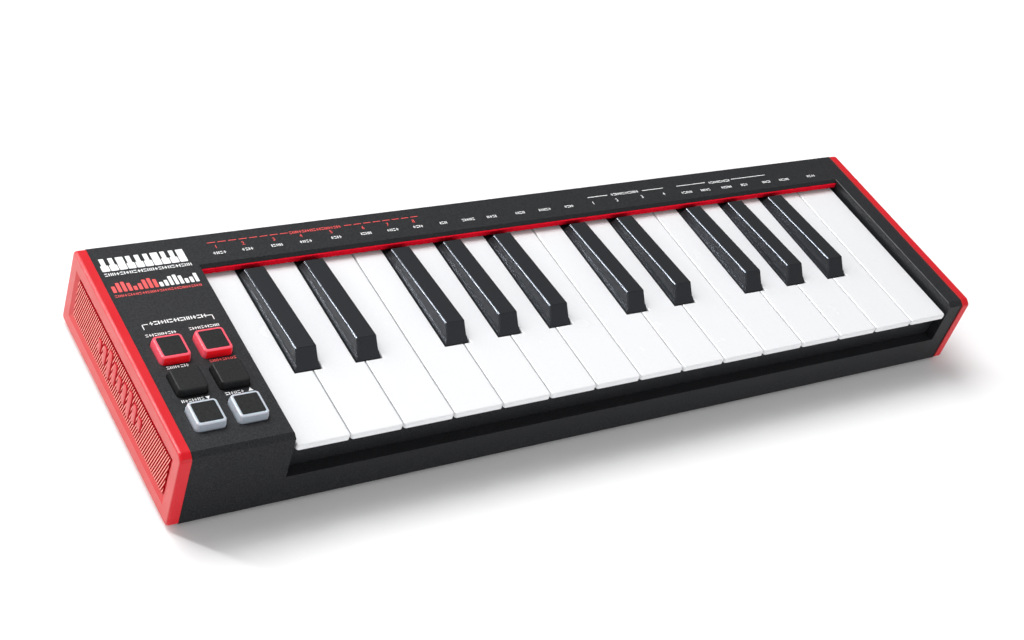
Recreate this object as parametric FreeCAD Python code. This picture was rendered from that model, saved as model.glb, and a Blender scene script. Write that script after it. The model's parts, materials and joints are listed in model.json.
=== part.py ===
import FreeCAD, Part
import os

# A mini midi keyboard with 25 keys, built as an assembly of separate pieces.
# Millimetres. +X runs along the keys from low notes to high, +Y to the rear, +Z up.
# The origin is the centre of the footprint, on the surface that the feet stand on.

# ---------------------------------------------------------------- driving sizes
WIDTH = 340.0
DEPTH = 95.2
PITCH = 19.25
WHITE_KEYS = 15
CAP_THICK = 3.8
CAP_PROUD = 0.45
CAP_PROUD_REAR = 0.4
CAP_CORNER = 1.8
CAP_EDGE = 1.0
PANEL_MOUTH_Y = (-42.3, 42.7)
PANEL_MOUTH_Z = (6.5, 26.7)
PANEL_FLOOR_Y = (-40.0, 40.4)
PANEL_FLOOR_Z = (8.75, 24.45)
PANEL_DEPTH = 1.0
WALL = 2.0
CASE_BOTTOM = 1.8
CASE_TOP = 31.3

# Case outline in the side view
CASE_FRONT_LOW = -DEPTH / 2 + CAP_PROUD
CASE_FRONT_HIGH = -46.0
CASE_REAR = DEPTH / 2 - CAP_PROUD
CHAMFER_LOW_Z = 30.05
CHAMFER_BACK_Y = -44.0
CASE_HALF = WIDTH / 2 - CAP_THICK

# Key bay: the opening in the case that the keys fill
KEYS_LEFT = -131.0
BAY_LEFT = KEYS_LEFT - 0.6
BAY_RIGHT = 159.0
BAY_REAR = 33.2
BAY_WALL = 1.6
BAY_EDGE = 0.4
RAIL_TOP = 13.05
LEDGE_THICK = 2.0
BACK_WALL_Y = (-42.4, -40.6)
BACK_WALL_TOP = 21.8
LIP_REACH = 1.0
FELT_SEAT_Y = 32.4
FELT_SEAT_Z = (28.1, 30.2)
FELT_FRONT = 31.4
CLEAR_Y = 60.0

# Keys
KEY_GAP = 0.5
KEY_FRONT = -46.7
KEY_TOP = 27.36
KEY_UNDER = 20.5
KEY_SKIN = 1.6
KEY_WALL = 1.2
KEY_LIP_BOTTOM = 25.2
KEY_SKIRT_FRONT = -40.1
KEY_TAIL_END = 33.5
KEY_EDGE = 0.6
KEY_CORNER = 1.0
HEAD_END = -17.3
CUTOUT_HALF = 5.05
NECK_WIDTH = {"white": 9.0, "black": 6.4}
PLUNGER_HALF = 1.0
WHITE_TIP_SIDE = 4.0
WHITE_TIP_Z = 18.5
WHITE_HOOK = (4.0, -36.5, 5.3)
HOOK_THICK = 2.0

# Black keys, which sit over these gaps between white keys with these offsets in pitches
BLACK_PLACES = ((1, -0.081), (2, 0.081), (4, -0.124), (5, 0.0), (6, 0.124),
                (8, -0.081), (9, 0.081), (11, -0.124), (12, 0.0), (13, 0.124))
BLACK_FRONT = -16.8
BLACK_FOOT_HALF = 4.6
BLACK_WAIST_HALF = 4.05
BLACK_TOP_HALF = 3.75
BLACK_BASE_Z = 27.0
BLACK_WAIST_Z = 28.7
BLACK_WAIST_Y = (-15.5, 29.5)
BLACK_CREST = (-12.0, 33.1)
BLACK_HEEL = (29.2, 30.6)
BLACK_HEEL_FOOT = 29.8
BLACK_EDGE = 0.5
BLACK_WALL = 1.4
BLACK_TIP_Z = 18.75
BLACK_HOOK = (3.0, -9.0, 5.1)

# Pivot that all the keys turn on
PIVOT_Y = 39.0
PIVOT_Z = 22.5
ROD_R = 1.5
KEY_BORE_R = 1.55
LUG_BORE_R = 1.53
NECK_R = 3.4
NECK_START = 30.0
LUG_THICK = 2.0
LUG_Y = (36.2, 41.8)
LUG_TOP = 25.3
NECK_PLAY = 0.7

# Key frame and what works under the keys
FRAME_X = (-130.6, 158.0)
FRAME_Y = (-39.5, 42.4)
FRAME_Z = (13.6, 15.6)
DOME_Y = 4.0
DOME_TOP = 17.0
DOME_BASE_Z = (11.6, 12.6)
CONTACT_BOARD_Z = (10.0, 11.6)
HOOK_Z = (10.6, 12.6)
STOP_FELT_Z = (12.9, 13.6)
STOP_FELT_Y = ((-33.5, -30.8), (-6.0, -3.4))
REST_FELTS = (((-30.0, -26.5), 17.8), ((-14.5, -11.5), 17.9))
FRAME_POST_X = (-110.0, -35.0, 40.0, 115.0)
FRAME_POST_Y = (-26.0, 28.0)
FRAME_POST_R = 3.0
GUIDE_TOP = 22.5
GUIDE_THICK = 2.0
WHITE_GUIDE_Y = -23.5
WHITE_GUIDE_PLAY = 0.8
BLACK_GUIDE_Y = 13.0
BLACK_GUIDE_WIDTH = 5.4
WHITE_HOOK_WINDOW = (-35.6, 6.0, 3.8)
BLACK_HOOK_WINDOW = (-8.0, 5.0, 3.6)
DOME_WINDOW = (8.6, 11.0)
DOME_STRIP_X = (-128.5, 156.5)
DOME_STRIP_HALF = 5.3
DOME_RADII = (3.7, 2.3)
CONTACT_BOARD_X = (-129.0, 157.0)
CONTACT_BOARD_Y = (-2.5, 20.0)
CONTACT_HEADER = ((-126.0, -122.0), (-1.5, 13.0))
CONTACT_HEADER_BOTTOM = 7.2
CONTACT_SCREW_X = (-120.0, -66.0, -12.0, 42.0, 96.0, 150.0)
CONTACT_SCREW_Y = 16.5

# Buttons: two columns of three
BUTTON_X = (-156.3, -142.1)
BUTTON_Y = (-3.2, -17.4, -32.0)
BUTTON_NAMES = (("red_button_left", "red_button_right"),
                ("black_button_left", "black_button_right"),
                ("white_button_left", "white_button_right"))
BUTTON_FOOT = 10.2
BUTTON_CROWN = 9.7
BUTTON_CORNER = 1.3
BUTTON_EDGE = 0.5
BUTTON_TOP = 34.1
BUTTON_SHOULDER = 32.0
BUTTON_HOLE = 10.8
BUTTON_FLANGE = 11.8
BUTTON_FLANGE_Z = (27.8, 29.0)
BUTTON_STEM_BOTTOM = 26.4
BUTTON_STEM_R = 2.0
BUTTON_HOLE_CORNER = 1.6
INSET_SIDE = 8.0
INSET_CORNER = 0.6
INSET_DEPTH = 0.5
INSET_PROUD = 0.12

# Boards
HEADER_X = -149.2
HEADER_Y = -12.0
HEADER_SIZE = (13.0, 4.0)
HEADER_HEIGHT = 2.2
HEADER_TOP_Z = 17.3
MAIN_BOARD = (-158.0, -134.0, -25.0, 44.5)
MAIN_BOARD_Z = (5.8, 7.4)
MAIN_SCREWS = ((-155.0, -22.0), (-137.0, -22.0), (-155.0, 20.0), (-137.0, 12.0))
BUTTON_BOARD = (-163.5, -134.2, -37.4, 9.0)
BUTTON_BOARD_Z = (19.5, 21.1)
BUTTON_BOARD_SCREWS = ((-161.0, 5.5), (-149.2, 5.5), (-137.4, 5.5), (-149.2, -39.4))
BUTTON_TONGUE = ((-153.5, -145.0), -42.2)
SWITCH_SIDE = 6.0
SWITCH_TOP = 24.6
SWITCH_STEM = (1.7, 25.5)
LED_SIZE = (2.0, 1.2, 0.8)
LED_OFFSET = 4.3
# Chips on the main board: centre, side along X and Y, height
CHIPS = ((-149.0, 2.0, 9.0, 9.0, 1.2), (-141.0, -4.0, 5.0, 4.0, 1.0), (-154.5, 14.0, 2.4, 4.6, 1.6),
         (-135.9, 4.0, 2.6, 12.0, 2.2))
RIBBON_THICK = 0.6
FLAT_RIBBON = ((-134.6, -126.0), (-1.0, 9.0), (8.2, 8.7))

# Rear sockets
USB_X = -152.0
USB_SIZE = (12.0, 16.0, 10.9)
USB_MOUTH = (8.45, 7.78)
USB_MOUTH_DEPTH = 9.5
USB_TONGUE = (5.6, 3.2)
USB_PLAY = 0.3
JACK_X = -139.6
JACK_Z = 13.4
JACK_BODY = (11.8, 27.0, 12.0)
JACK_BORE_R = 3.25
JACK_BORE_LENGTH = 24.0
JACK_NOSE_R = 4.9
JACK_PLAY = 0.15

# Fasteners and feet
CASE_BOSS_R = 2.6
CASE_BOSSES = ((-161.0, -40.5), (-136.6, -40.5), (-161.0, 41.0), (161.6, -40.0), (161.6, 41.0))
RAIL_BOSS_X = (-80.0, 0.0, 80.0)
RAIL_BOSS_Y = -41.0
CASE_PILOT_R = 1.1
CASE_PILOT_TOP = 16.0
RAIL_PILOT_TOP = 11.5
BOARD_BOSS_R = 2.2
BOARD_PILOT_R = 0.9
BOARD_PILOT_TOP = 28.0
BOARD_HOLE_R = 1.1
CAP_SCREW_Y = (-30.0, 0.0, 30.0)
CAP_SCREW_Z = 15.0
CAP_PEG_R = 3.0
CAP_PEG_LENGTH = 1.8
CAP_PEG_HOLE_R = 3.15
CAP_PILOT_R = 1.2
CAP_PILOT_DEPTH = 2.0
FOOT_R = 6.0
FOOT_X = 150.0
FOOT_Y = 34.0
FOOT_EDGE = 0.7
FOOT_SOCKET = 0.6
COVER_Z = (1.8, 3.8)
COVER_FRONT = -44.9
COVER_PLAY = 0.2
COVER_RIB_X = (-128.0, 156.0)
COVER_RIB_Y = (-14.0, 10.0)
COVER_RIB_HALF = 0.7
COVER_RIB_TOP = 6.2
MAIN_POST_R = 2.4
CASE_SCREW_HOLE_R = 1.25
COUNTERBORE = (2.35, 1.25)
SCREW_HEAD_HEIGHT = 1.1
SCREW_SLOT_WIDTH = 0.5
SCREW_SLOT_DEPTH = 0.6
CASE_SCREW = (2.1, 1.0, 6.0)
BOARD_SCREW_HEAD_R = 1.9
BOARD_SCREW_R = 0.8
BUTTON_BOARD_SCREW_LENGTH = 4.4
CONTACT_SCREW_LENGTH = 3.2
MAIN_SCREW_LENGTH = 3.6
CAP_SCREW_HEAD = (3.9, 1.6)
CAP_SCREW_SHANK = (1.1, 3.6)


# ---------------------------------------------------------------- small helpers
def vec(x, y, z):
    return FreeCAD.Vector(x, y, z)


def box(x, y, z):
    """A block from three (low, high) pairs."""
    return Part.makeBox(x[1] - x[0], y[1] - y[0], z[1] - z[0], vec(x[0], y[0], z[0]))


def block_at(cx, cy, side_x, side_y, z):
    """A block centred on a point in plan."""
    return box((cx - side_x / 2, cx + side_x / 2), (cy - side_y / 2, cy + side_y / 2), z)


def post(x, y, radius, z):
    """An upright cylinder."""
    return Part.makeCylinder(radius, z[1] - z[0], vec(x, y, z[0]))


def rod_x(radius, x, y, z):
    """A cylinder along X."""
    return Part.makeCylinder(radius, x[1] - x[0], vec(x[0], y, z), vec(1, 0, 0))


def rod_y(radius, x, y, z):
    """A cylinder along Y."""
    return Part.makeCylinder(radius, y[1] - y[0], vec(x, y[0], z), vec(0, 1, 0))


def prism_x(outline, x):
    """Extrude a closed outline of (y, z) points along X."""
    points = [vec(x[0], y, z) for y, z in outline]
    face = Part.Face(Part.makePolygon(points + points[:1]))
    return face.extrude(vec(x[1] - x[0], 0, 0))


def joined(shapes):
    """One solid from pieces that touch or overlap."""
    return shapes[0].fuse(shapes[1:]).removeSplitter()


def square_ring(cx, cy, side, corner, z):
    """A closed rounded square wire at height z."""
    half = side / 2
    plate = Part.makeBox(side, side, 1.0, vec(cx - half, cy - half, z))
    upright = [e for e in plate.Edges if abs(e.Vertexes[0].Z - e.Vertexes[1].Z) > 0.5]
    rounded = plate.makeFillet(corner, upright)
    return [f for f in rounded.Faces if f.normalAt(0, 0).z < -0.99][0].OuterWire


def rounded_block(cx, cy, side, corner, z):
    """A square block with rounded upright corners."""
    block = block_at(cx, cy, side, side, z)
    upright = [e for e in block.Edges if abs(e.Vertexes[0].Z - e.Vertexes[1].Z) > 0.1]
    return block.makeFillet(corner, upright)


def screw_up(x, y, head_z, head_r, shank_r, length):
    """A cross-head screw driven upward, with its head's face at head_z."""
    top = head_z + SCREW_HEAD_HEIGHT
    head = post(x, y, head_r, (head_z, top))
    shank = post(x, y, shank_r, (top, top + length))
    slot_z = (head_z - 0.1, head_z + SCREW_SLOT_DEPTH)
    slot_a = block_at(x, y, head_r * 1.2, SCREW_SLOT_WIDTH, slot_z)
    slot_b = block_at(x, y, SCREW_SLOT_WIDTH, head_r * 1.2, slot_z)
    return head.fuse(shank).removeSplitter().cut([slot_a, slot_b])


def save(node, shape):
    shape.exportStep("parts/" + node + ".step")


# ---------------------------------------------------------------- key layout
def black_centre(index):
    gap, offset = BLACK_PLACES[index]
    return KEYS_LEFT + (gap + offset) * PITCH


def white_bounds(index):
    """Left and right sides of a white key: its head, then its tail between black keys."""
    head = (KEYS_LEFT + index * PITCH + KEY_GAP / 2, KEYS_LEFT + (index + 1) * PITCH - KEY_GAP / 2)
    left, right = head
    for number, (gap, offset) in enumerate(BLACK_PLACES):
        if gap == index:
            left = black_centre(number) + CUTOUT_HALF
        if gap == index + 1:
            right = black_centre(number) - CUTOUT_HALF
    return head, (left, right)


def necks():
    """Centre and kind of every key at the pivot, from left to right."""
    places = []
    for index in range(WHITE_KEYS):
        tail = white_bounds(index)[1]
        places.append(((tail[0] + tail[1]) / 2, "white"))
    for index in range(len(BLACK_PLACES)):
        places.append((black_centre(index), "black"))
    return sorted(places)


# ---------------------------------------------------------------- keys
def neck(centre, kind):
    """The narrow rear of a key, with the bore that turns on the rod."""
    half = NECK_WIDTH[kind] / 2
    sides = (centre - half, centre + half)
    arm = box(sides, (NECK_START, PIVOT_Y), (KEY_UNDER, PIVOT_Z + NECK_R))
    return arm, rod_x(NECK_R, sides, PIVOT_Y, PIVOT_Z)


def key_bore(centre):
    return rod_x(KEY_BORE_R, (centre - 8.0, centre + 8.0), PIVOT_Y, PIVOT_Z)


def hook(centre, sizes, top):
    """The leg that limits how far a key rises, with its foot pointing to the rear."""
    width, leg_y, foot_reach = sizes
    sides = (centre - width / 2, centre + width / 2)
    leg = box(sides, (leg_y, leg_y + HOOK_THICK), (HOOK_Z[0], top))
    foot = box(sides, (leg_y, leg_y + foot_reach), HOOK_Z)
    return leg, foot


def white_key(index):
    head, tail = white_bounds(index)
    top = (KEY_UNDER, KEY_TOP)
    outer = joined([box(head, (KEY_FRONT, HEAD_END), top), box(tail, (HEAD_END - 1.0, KEY_TAIL_END), top)])
    front_corners = [e for e in outer.Edges
                     if abs(e.BoundBox.YMax - KEY_FRONT) < 0.01 and e.BoundBox.ZLength > 1.0]
    outer = outer.makeFillet(KEY_CORNER, front_corners)
    rim = [e for e in outer.Edges if e.BoundBox.ZMin > KEY_TOP - 0.01]
    outer = outer.makeFillet(KEY_EDGE, rim)
    hollow = (KEY_UNDER - 1.0, KEY_TOP - KEY_SKIN)
    head_hollow = box((head[0] + KEY_WALL, head[1] - KEY_WALL),
                      (KEY_FRONT + KEY_SKIN, HEAD_END - KEY_WALL), hollow)
    tail_hollow = box((tail[0] + KEY_WALL, tail[1] - KEY_WALL), (HEAD_END - 2 * KEY_WALL, NECK_START), hollow)
    below_lip = box((head[0] - 1.0, head[1] + 1.0), (KEY_FRONT - 1.0, KEY_SKIRT_FRONT),
                    (KEY_UNDER - 1.0, KEY_LIP_BOTTOM))
    shell = outer.cut([head_hollow, tail_hollow, below_lip])
    centre = (tail[0] + tail[1]) / 2
    middle = (head[0] + head[1]) / 2
    skin_under = KEY_TOP - KEY_SKIN + 0.2
    plunger_y = (DOME_Y - PLUNGER_HALF, DOME_Y + PLUNGER_HALF)
    plunger = box((tail[0] + 0.5, tail[1] - 0.5), plunger_y, (KEY_UNDER, skin_under))
    tip = block_at(centre, DOME_Y, WHITE_TIP_SIDE, 2 * PLUNGER_HALF, (WHITE_TIP_Z, skin_under))
    leg, foot = hook(middle, WHITE_HOOK, skin_under)
    arm, barrel = neck(centre, "white")
    return joined([shell, plunger, tip, leg, foot, arm, barrel]).cut(key_bore(centre))


def key_ring(centre, half, front, rear):
    """A closed four-sided wire, from the (y, z) of its front and rear edges."""
    corners = [vec(centre - half, front[0], front[1]), vec(centre + half, front[0], front[1]),
               vec(centre + half, rear[0], rear[1]), vec(centre - half, rear[0], rear[1])]
    return Part.makePolygon(corners + corners[:1])


def black_key(index):
    """A black key, with a flared foot, sides that lean in and a top that falls gently to the rear."""
    centre = black_centre(index)
    foot = key_ring(centre, BLACK_FOOT_HALF, (BLACK_FRONT, BLACK_BASE_Z), (BLACK_HEEL_FOOT, BLACK_BASE_Z))
    waist = key_ring(centre, BLACK_WAIST_HALF, *[(y, BLACK_WAIST_Z) for y in BLACK_WAIST_Y])
    crown = key_ring(centre, BLACK_TOP_HALF, BLACK_CREST, BLACK_HEEL)
    cap = Part.makeLoft([waist, crown], True, True)
    upper = [e for e in cap.Edges if e.BoundBox.ZMax > BLACK_WAIST_Z + 0.5]
    cap = cap.makeFillet(BLACK_EDGE, upper).fuse(Part.makeLoft([foot, waist], True, True))
    sides = (centre - BLACK_FOOT_HALF, centre + BLACK_FOOT_HALF)
    stock = box(sides, (BLACK_FRONT, KEY_TAIL_END), (KEY_UNDER, BLACK_BASE_Z))
    hollow_x = (sides[0] + BLACK_WALL, sides[1] - BLACK_WALL)
    low_hollow = box(hollow_x, (BLACK_FRONT + BLACK_WALL, NECK_START - 2.0),
                     (KEY_UNDER - 1.0, BLACK_BASE_Z - BLACK_WALL))
    high_hollow = box(hollow_x, (BLACK_CREST[0] - 1.0, NECK_START - 4.0), (KEY_UNDER, BLACK_BASE_Z + 1.6))
    shell = cap.fuse(stock).cut([low_hollow, high_hollow])
    skin_under = BLACK_BASE_Z + 1.8
    plunger = box((hollow_x[0] - 0.3, hollow_x[1] + 0.3), (DOME_Y - PLUNGER_HALF, DOME_Y + PLUNGER_HALF),
                  (BLACK_TIP_Z, skin_under))
    leg, foot = hook(centre, BLACK_HOOK, skin_under)
    arm, barrel = neck(centre, "black")
    return joined([shell, plunger, leg, foot, arm, barrel]).cut(key_bore(centre))


# ---------------------------------------------------------------- casing
def case_outline(inset):
    """The side view of the case as (y, z) points, shrunk by inset on the closed sides."""
    return [(CASE_FRONT_LOW + inset, CASE_BOTTOM),
            (CASE_FRONT_HIGH + inset, CHAMFER_LOW_Z - inset * 0.6),
            (CHAMFER_BACK_Y + inset * 0.4, CASE_TOP - inset),
            (CASE_REAR - inset, CASE_TOP - inset),
            (CASE_REAR - inset, CASE_BOTTOM)]


def bay_side(x):
    """A wall beside the keys, from the rail to the top panel, following the outline."""
    wall = prism_x(case_outline(0.0), x)
    return wall.common(box(x, (-CLEAR_Y, BAY_REAR + LIP_REACH), (RAIL_TOP - LEDGE_THICK, CASE_TOP)))


def felt_lip():
    """The sloped front edge of the rear strip, with the step that the felt is glued to."""
    back = BAY_REAR + LIP_REACH
    low, high = FELT_SEAT_Z
    outline = [(BAY_REAR, CASE_TOP), (back, CASE_TOP), (back, low),
               (FELT_SEAT_Y, low), (FELT_SEAT_Y, high), (FELT_SEAT_Y - 0.3, high)]
    return prism_x(outline, (BAY_LEFT - 0.5, BAY_RIGHT + 0.5))


def case_moulding():
    """The upper moulding of the case, before it is shared out among its pieces."""
    shell = prism_x(case_outline(0.0), (-CASE_HALF, CASE_HALF))
    cavity = prism_x([(y, z if z > CASE_BOTTOM else z - 1.0) for y, z in case_outline(WALL)],
                     (-CASE_HALF + WALL, CASE_HALF - WALL))
    bay = box((BAY_LEFT, BAY_RIGHT), (-CLEAR_Y, BAY_REAR), (RAIL_TOP, CASE_TOP + 5.0))
    body = shell.cut([cavity, bay])
    pieces = [body]
    pieces.append(box((BAY_LEFT - 0.5, BAY_RIGHT + 0.5), (-46.0, BACK_WALL_Y[1]),
                      (RAIL_TOP - LEDGE_THICK, RAIL_TOP)))
    pieces.append(box((BAY_LEFT - 0.5, BAY_RIGHT + 0.5), BACK_WALL_Y, (RAIL_TOP - 1.0, BACK_WALL_TOP)))
    pieces.append(bay_side((BAY_LEFT - BAY_WALL, BAY_LEFT)))
    pieces.append(bay_side((BAY_RIGHT, BAY_RIGHT + BAY_WALL)))
    pieces.append(felt_lip())
    pilots = []
    for x, y in CASE_BOSSES:
        pieces.append(post(x, y, CASE_BOSS_R, (COVER_Z[1], CASE_TOP - 1.0)))
        pilots.append(post(x, y, CASE_PILOT_R, (COVER_Z[1] - 1.0, CASE_PILOT_TOP)))
    for x in RAIL_BOSS_X:
        pieces.append(post(x, RAIL_BOSS_Y, CASE_BOSS_R, (COVER_Z[1], RAIL_TOP - 1.0)))
        pilots.append(post(x, RAIL_BOSS_Y, CASE_PILOT_R, (COVER_Z[1] - 1.0, RAIL_PILOT_TOP)))
    for x, y in BUTTON_BOARD_SCREWS:
        pieces.append(post(x, y, BOARD_BOSS_R, (BUTTON_BOARD_Z[1], CASE_TOP - 1.0)))
        pilots.append(post(x, y, BOARD_PILOT_R, (BUTTON_BOARD_Z[1] - 1.0, BOARD_PILOT_TOP)))
    case = joined(pieces)
    for x in BUTTON_X:
        for y in BUTTON_Y:
            through = (CASE_TOP - 4.0, CASE_TOP + 1.0)
            pilots.append(rounded_block(x, y, BUTTON_HOLE, BUTTON_HOLE_CORNER, through))
    pilots.append(block_at(USB_X, CASE_REAR, USB_SIZE[0] + 2 * USB_PLAY, 3 * WALL,
                           (MAIN_BOARD_Z[1] - USB_PLAY, MAIN_BOARD_Z[1] + USB_SIZE[2] + USB_PLAY)))
    pilots.append(rod_y(JACK_NOSE_R + JACK_PLAY, JACK_X, (CASE_REAR - 2 * WALL, CASE_REAR + 1.0), JACK_Z))
    for side in (-1, 1):
        middle = side * (CASE_HALF - WALL / 2)
        for y in CAP_SCREW_Y:
            pilots.append(rod_x(CAP_PEG_HOLE_R, (middle - WALL, middle + WALL), y, CAP_SCREW_Z))
    return case.cut(pilots).cut(front_trim())


def bay_edge(x, inward):
    """What is cut away to round the top edge beside the keys; inward points into the wall, along X."""
    y = (-CLEAR_Y, BAY_REAR)
    centre = x + inward * BAY_EDGE
    strip = box((min(x, centre), max(x, centre)), y, (CASE_TOP - BAY_EDGE, CASE_TOP + 1.0))
    return strip.cut(rod_y(BAY_EDGE, centre, y, CASE_TOP - BAY_EDGE))


def case_pieces():
    """The left panel, the right side, the front rail, the wall of the recess above it, and the rear strip."""
    moulding = case_moulding().cut([bay_edge(BAY_LEFT, -1), bay_edge(BAY_RIGHT, 1)])
    y = (-CLEAR_Y, CLEAR_Y)
    z = (0.0, CASE_TOP + 1.0)
    between = (BAY_LEFT, BAY_RIGHT)
    left = moulding.common(box((-CASE_HALF, BAY_LEFT), y, z))
    right = moulding.common(box((BAY_RIGHT, CASE_HALF), y, z))
    front = moulding.common(box(between, (y[0], 0.0), (z[0], RAIL_TOP)))
    recess = moulding.common(box(between, (y[0], 0.0), (RAIL_TOP, z[1])))
    rear = moulding.common(box(between, (0.0, y[1]), z))
    return left, right, front, recess, rear


def front_trim():
    """What would stick out of the front face: everything ahead of its slope."""
    outline = [(-CLEAR_Y, -5.0), (CASE_FRONT_LOW, -5.0), (CASE_FRONT_LOW, CASE_BOTTOM),
               (CASE_FRONT_HIGH, CHAMFER_LOW_Z), (-CLEAR_Y, CHAMFER_LOW_Z)]
    return prism_x(outline, (-CASE_HALF - 1.0, CASE_HALF + 1.0))


def end_cap(side):
    """The coloured end plate, with a shallow panel pressed into its outer face."""
    outer_x = side * WIDTH / 2
    inner_x = side * (WIDTH / 2 - CAP_THICK)
    p = CAP_PROUD
    outline = [(CASE_FRONT_LOW - p, CASE_BOTTOM - p), (CASE_FRONT_HIGH - p, CHAMFER_LOW_Z + p * 0.5),
               (CHAMFER_BACK_Y - p * 0.5, CASE_TOP + p), (CASE_REAR + CAP_PROUD_REAR, CASE_TOP + p),
               (CASE_REAR + CAP_PROUD_REAR, CASE_BOTTOM - p)]
    plate = prism_x(outline, (min(outer_x, inner_x), max(outer_x, inner_x)))
    long_edges = [e for e in plate.Edges if e.BoundBox.XLength > 1.0]
    plate = plate.makeFillet(CAP_CORNER, long_edges)
    rim = [e for e in plate.Edges if abs(abs(e.BoundBox.XMin) - WIDTH / 2) < 0.01 and e.BoundBox.XLength < 0.01]
    plate = plate.makeFillet(CAP_EDGE, rim)
    levels = ((PANEL_MOUTH_Y, PANEL_MOUTH_Z, 0.0), (PANEL_FLOOR_Y, PANEL_FLOOR_Z, PANEL_DEPTH))
    rings = [panel_ring(y, z, outer_x - side * depth) for y, z, depth in levels]
    panel = Part.makeLoft(rings, True, True)
    pegs = []
    holes = []
    for y in CAP_SCREW_Y:
        peg_end = inner_x - side * CAP_PEG_LENGTH
        pegs.append(rod_x(CAP_PEG_R, (min(inner_x, peg_end), max(inner_x, peg_end)), y, CAP_SCREW_Z))
        hole_end = inner_x + side * CAP_PILOT_DEPTH
        hole_x = (min(peg_end, hole_end) - 0.01, max(peg_end, hole_end) + 0.01)
        holes.append(rod_x(CAP_PILOT_R, hole_x, y, CAP_SCREW_Z))
    return joined([plate] + pegs).cut([panel] + holes)


def panel_ring(y, z, x):
    """A closed rectangle at a given x, from its (low, high) pairs along Y and Z."""
    corners = [vec(x, y[0], z[0]), vec(x, y[1], z[0]), vec(x, y[1], z[1]), vec(x, y[0], z[1])]
    return Part.makePolygon(corners + corners[:1])


def bottom_cover():
    half = CASE_HALF - WALL - COVER_PLAY
    plate = box((-half, half), (COVER_FRONT, CASE_REAR - WALL - COVER_PLAY), COVER_Z)
    pieces = [plate]
    for x, y in MAIN_SCREWS:
        pieces.append(post(x, y, MAIN_POST_R, (COVER_Z[1] - 0.5, MAIN_BOARD_Z[0])))
    for y in COVER_RIB_Y:
        rib_y = (y - COVER_RIB_HALF, y + COVER_RIB_HALF)
        pieces.append(box(COVER_RIB_X, rib_y, (COVER_Z[1] - 0.5, COVER_RIB_TOP)))
    cover = joined(pieces)
    holes = []
    for x, y in cover_screw_places():
        holes.append(post(x, y, CASE_SCREW_HOLE_R, (0.0, 2 * COVER_Z[1])))
        holes.append(post(x, y, COUNTERBORE[0], (0.0, COVER_Z[0] + COUNTERBORE[1])))
    for x, y in MAIN_SCREWS:
        holes.append(post(x, y, BOARD_PILOT_R, (COVER_Z[0] + 0.8, 2 * COVER_Z[1])))
    for x, y in foot_places():
        holes.append(post(x, y, FOOT_R + 0.15, (0.0, COVER_Z[0] + FOOT_SOCKET)))
    return cover.cut(holes)


def foot_places():
    return [(sx * FOOT_X, sy * FOOT_Y) for sx in (-1, 1) for sy in (-1, 1)]


def cover_screw_places():
    places = list(CASE_BOSSES)
    places += [(x, RAIL_BOSS_Y) for x in RAIL_BOSS_X]
    places += [(x, y) for x in FRAME_POST_X for y in FRAME_POST_Y]
    return places


def rubber_feet():
    feet = []
    for x, y in foot_places():
        foot = post(x, y, FOOT_R, (0.0, COVER_Z[0] + FOOT_SOCKET))
        rim = [e for e in foot.Edges if e.BoundBox.ZMax < 0.01]
        feet.append(foot.makeFillet(FOOT_EDGE, rim))
    return Part.makeCompound(feet)


# ---------------------------------------------------------------- key frame and contacts
def key_frame():
    pieces = [box(FRAME_X, FRAME_Y, FRAME_Z)]
    lug_z = (FRAME_Z[1] - 0.5, LUG_TOP)
    places = necks()
    for (left, left_kind), (right, right_kind) in zip(places, places[1:]):
        middle = (left + NECK_WIDTH[left_kind] / 2 + right - NECK_WIDTH[right_kind] / 2) / 2
        pieces.append(box((middle - LUG_THICK / 2, middle + LUG_THICK / 2), LUG_Y, lug_z))
    first = places[0][0] - NECK_WIDTH["white"] / 2
    last = places[-1][0] + NECK_WIDTH["white"] / 2
    pieces.append(box((FRAME_X[0], first - NECK_PLAY), LUG_Y, lug_z))
    pieces.append(box((last + NECK_PLAY, last + NECK_PLAY + LUG_THICK), LUG_Y, lug_z))
    guide_z = (FRAME_Z[1] - 0.5, GUIDE_TOP)
    through = (FRAME_Z[0] - 1.0, FRAME_Z[1] + 1.0)
    windows = []
    for index in range(WHITE_KEYS):
        head, tail = white_bounds(index)
        middle = (head[0] + head[1]) / 2
        guide = head[1] - head[0] - 2 * KEY_WALL - WHITE_GUIDE_PLAY
        pieces.append(block_at(middle, WHITE_GUIDE_Y, guide, GUIDE_THICK, guide_z))
        windows.append(block_at(middle, *WHITE_HOOK_WINDOW, through))
    for index in range(len(BLACK_PLACES)):
        x = black_centre(index)
        pieces.append(block_at(x, BLACK_GUIDE_Y, BLACK_GUIDE_WIDTH, GUIDE_THICK, guide_z))
        windows.append(block_at(x, *BLACK_HOOK_WINDOW, through))
    for x, kind in places:
        windows.append(block_at(x, DOME_Y, *DOME_WINDOW, through))
    for x in FRAME_POST_X:
        for y in FRAME_POST_Y:
            pieces.append(post(x, y, FRAME_POST_R, (COVER_Z[1], FRAME_Z[0] + 0.5)))
            windows.append(post(x, y, CASE_PILOT_R, (COVER_Z[1] - 1.0, FRAME_Z[0] - 1.0)))
    for x in CONTACT_SCREW_X:
        pieces.append(post(x, CONTACT_SCREW_Y, BOARD_BOSS_R, (CONTACT_BOARD_Z[1], FRAME_Z[0] + 0.5)))
        windows.append(post(x, CONTACT_SCREW_Y, BOARD_PILOT_R, (CONTACT_BOARD_Z[1] - 1.0, FRAME_Z[1] - 0.6)))
    windows.append(rod_x(LUG_BORE_R, (FRAME_X[0] - 5.0, FRAME_X[1] + 5.0), PIVOT_Y, PIVOT_Z))
    return joined(pieces).cut(windows)


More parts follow.
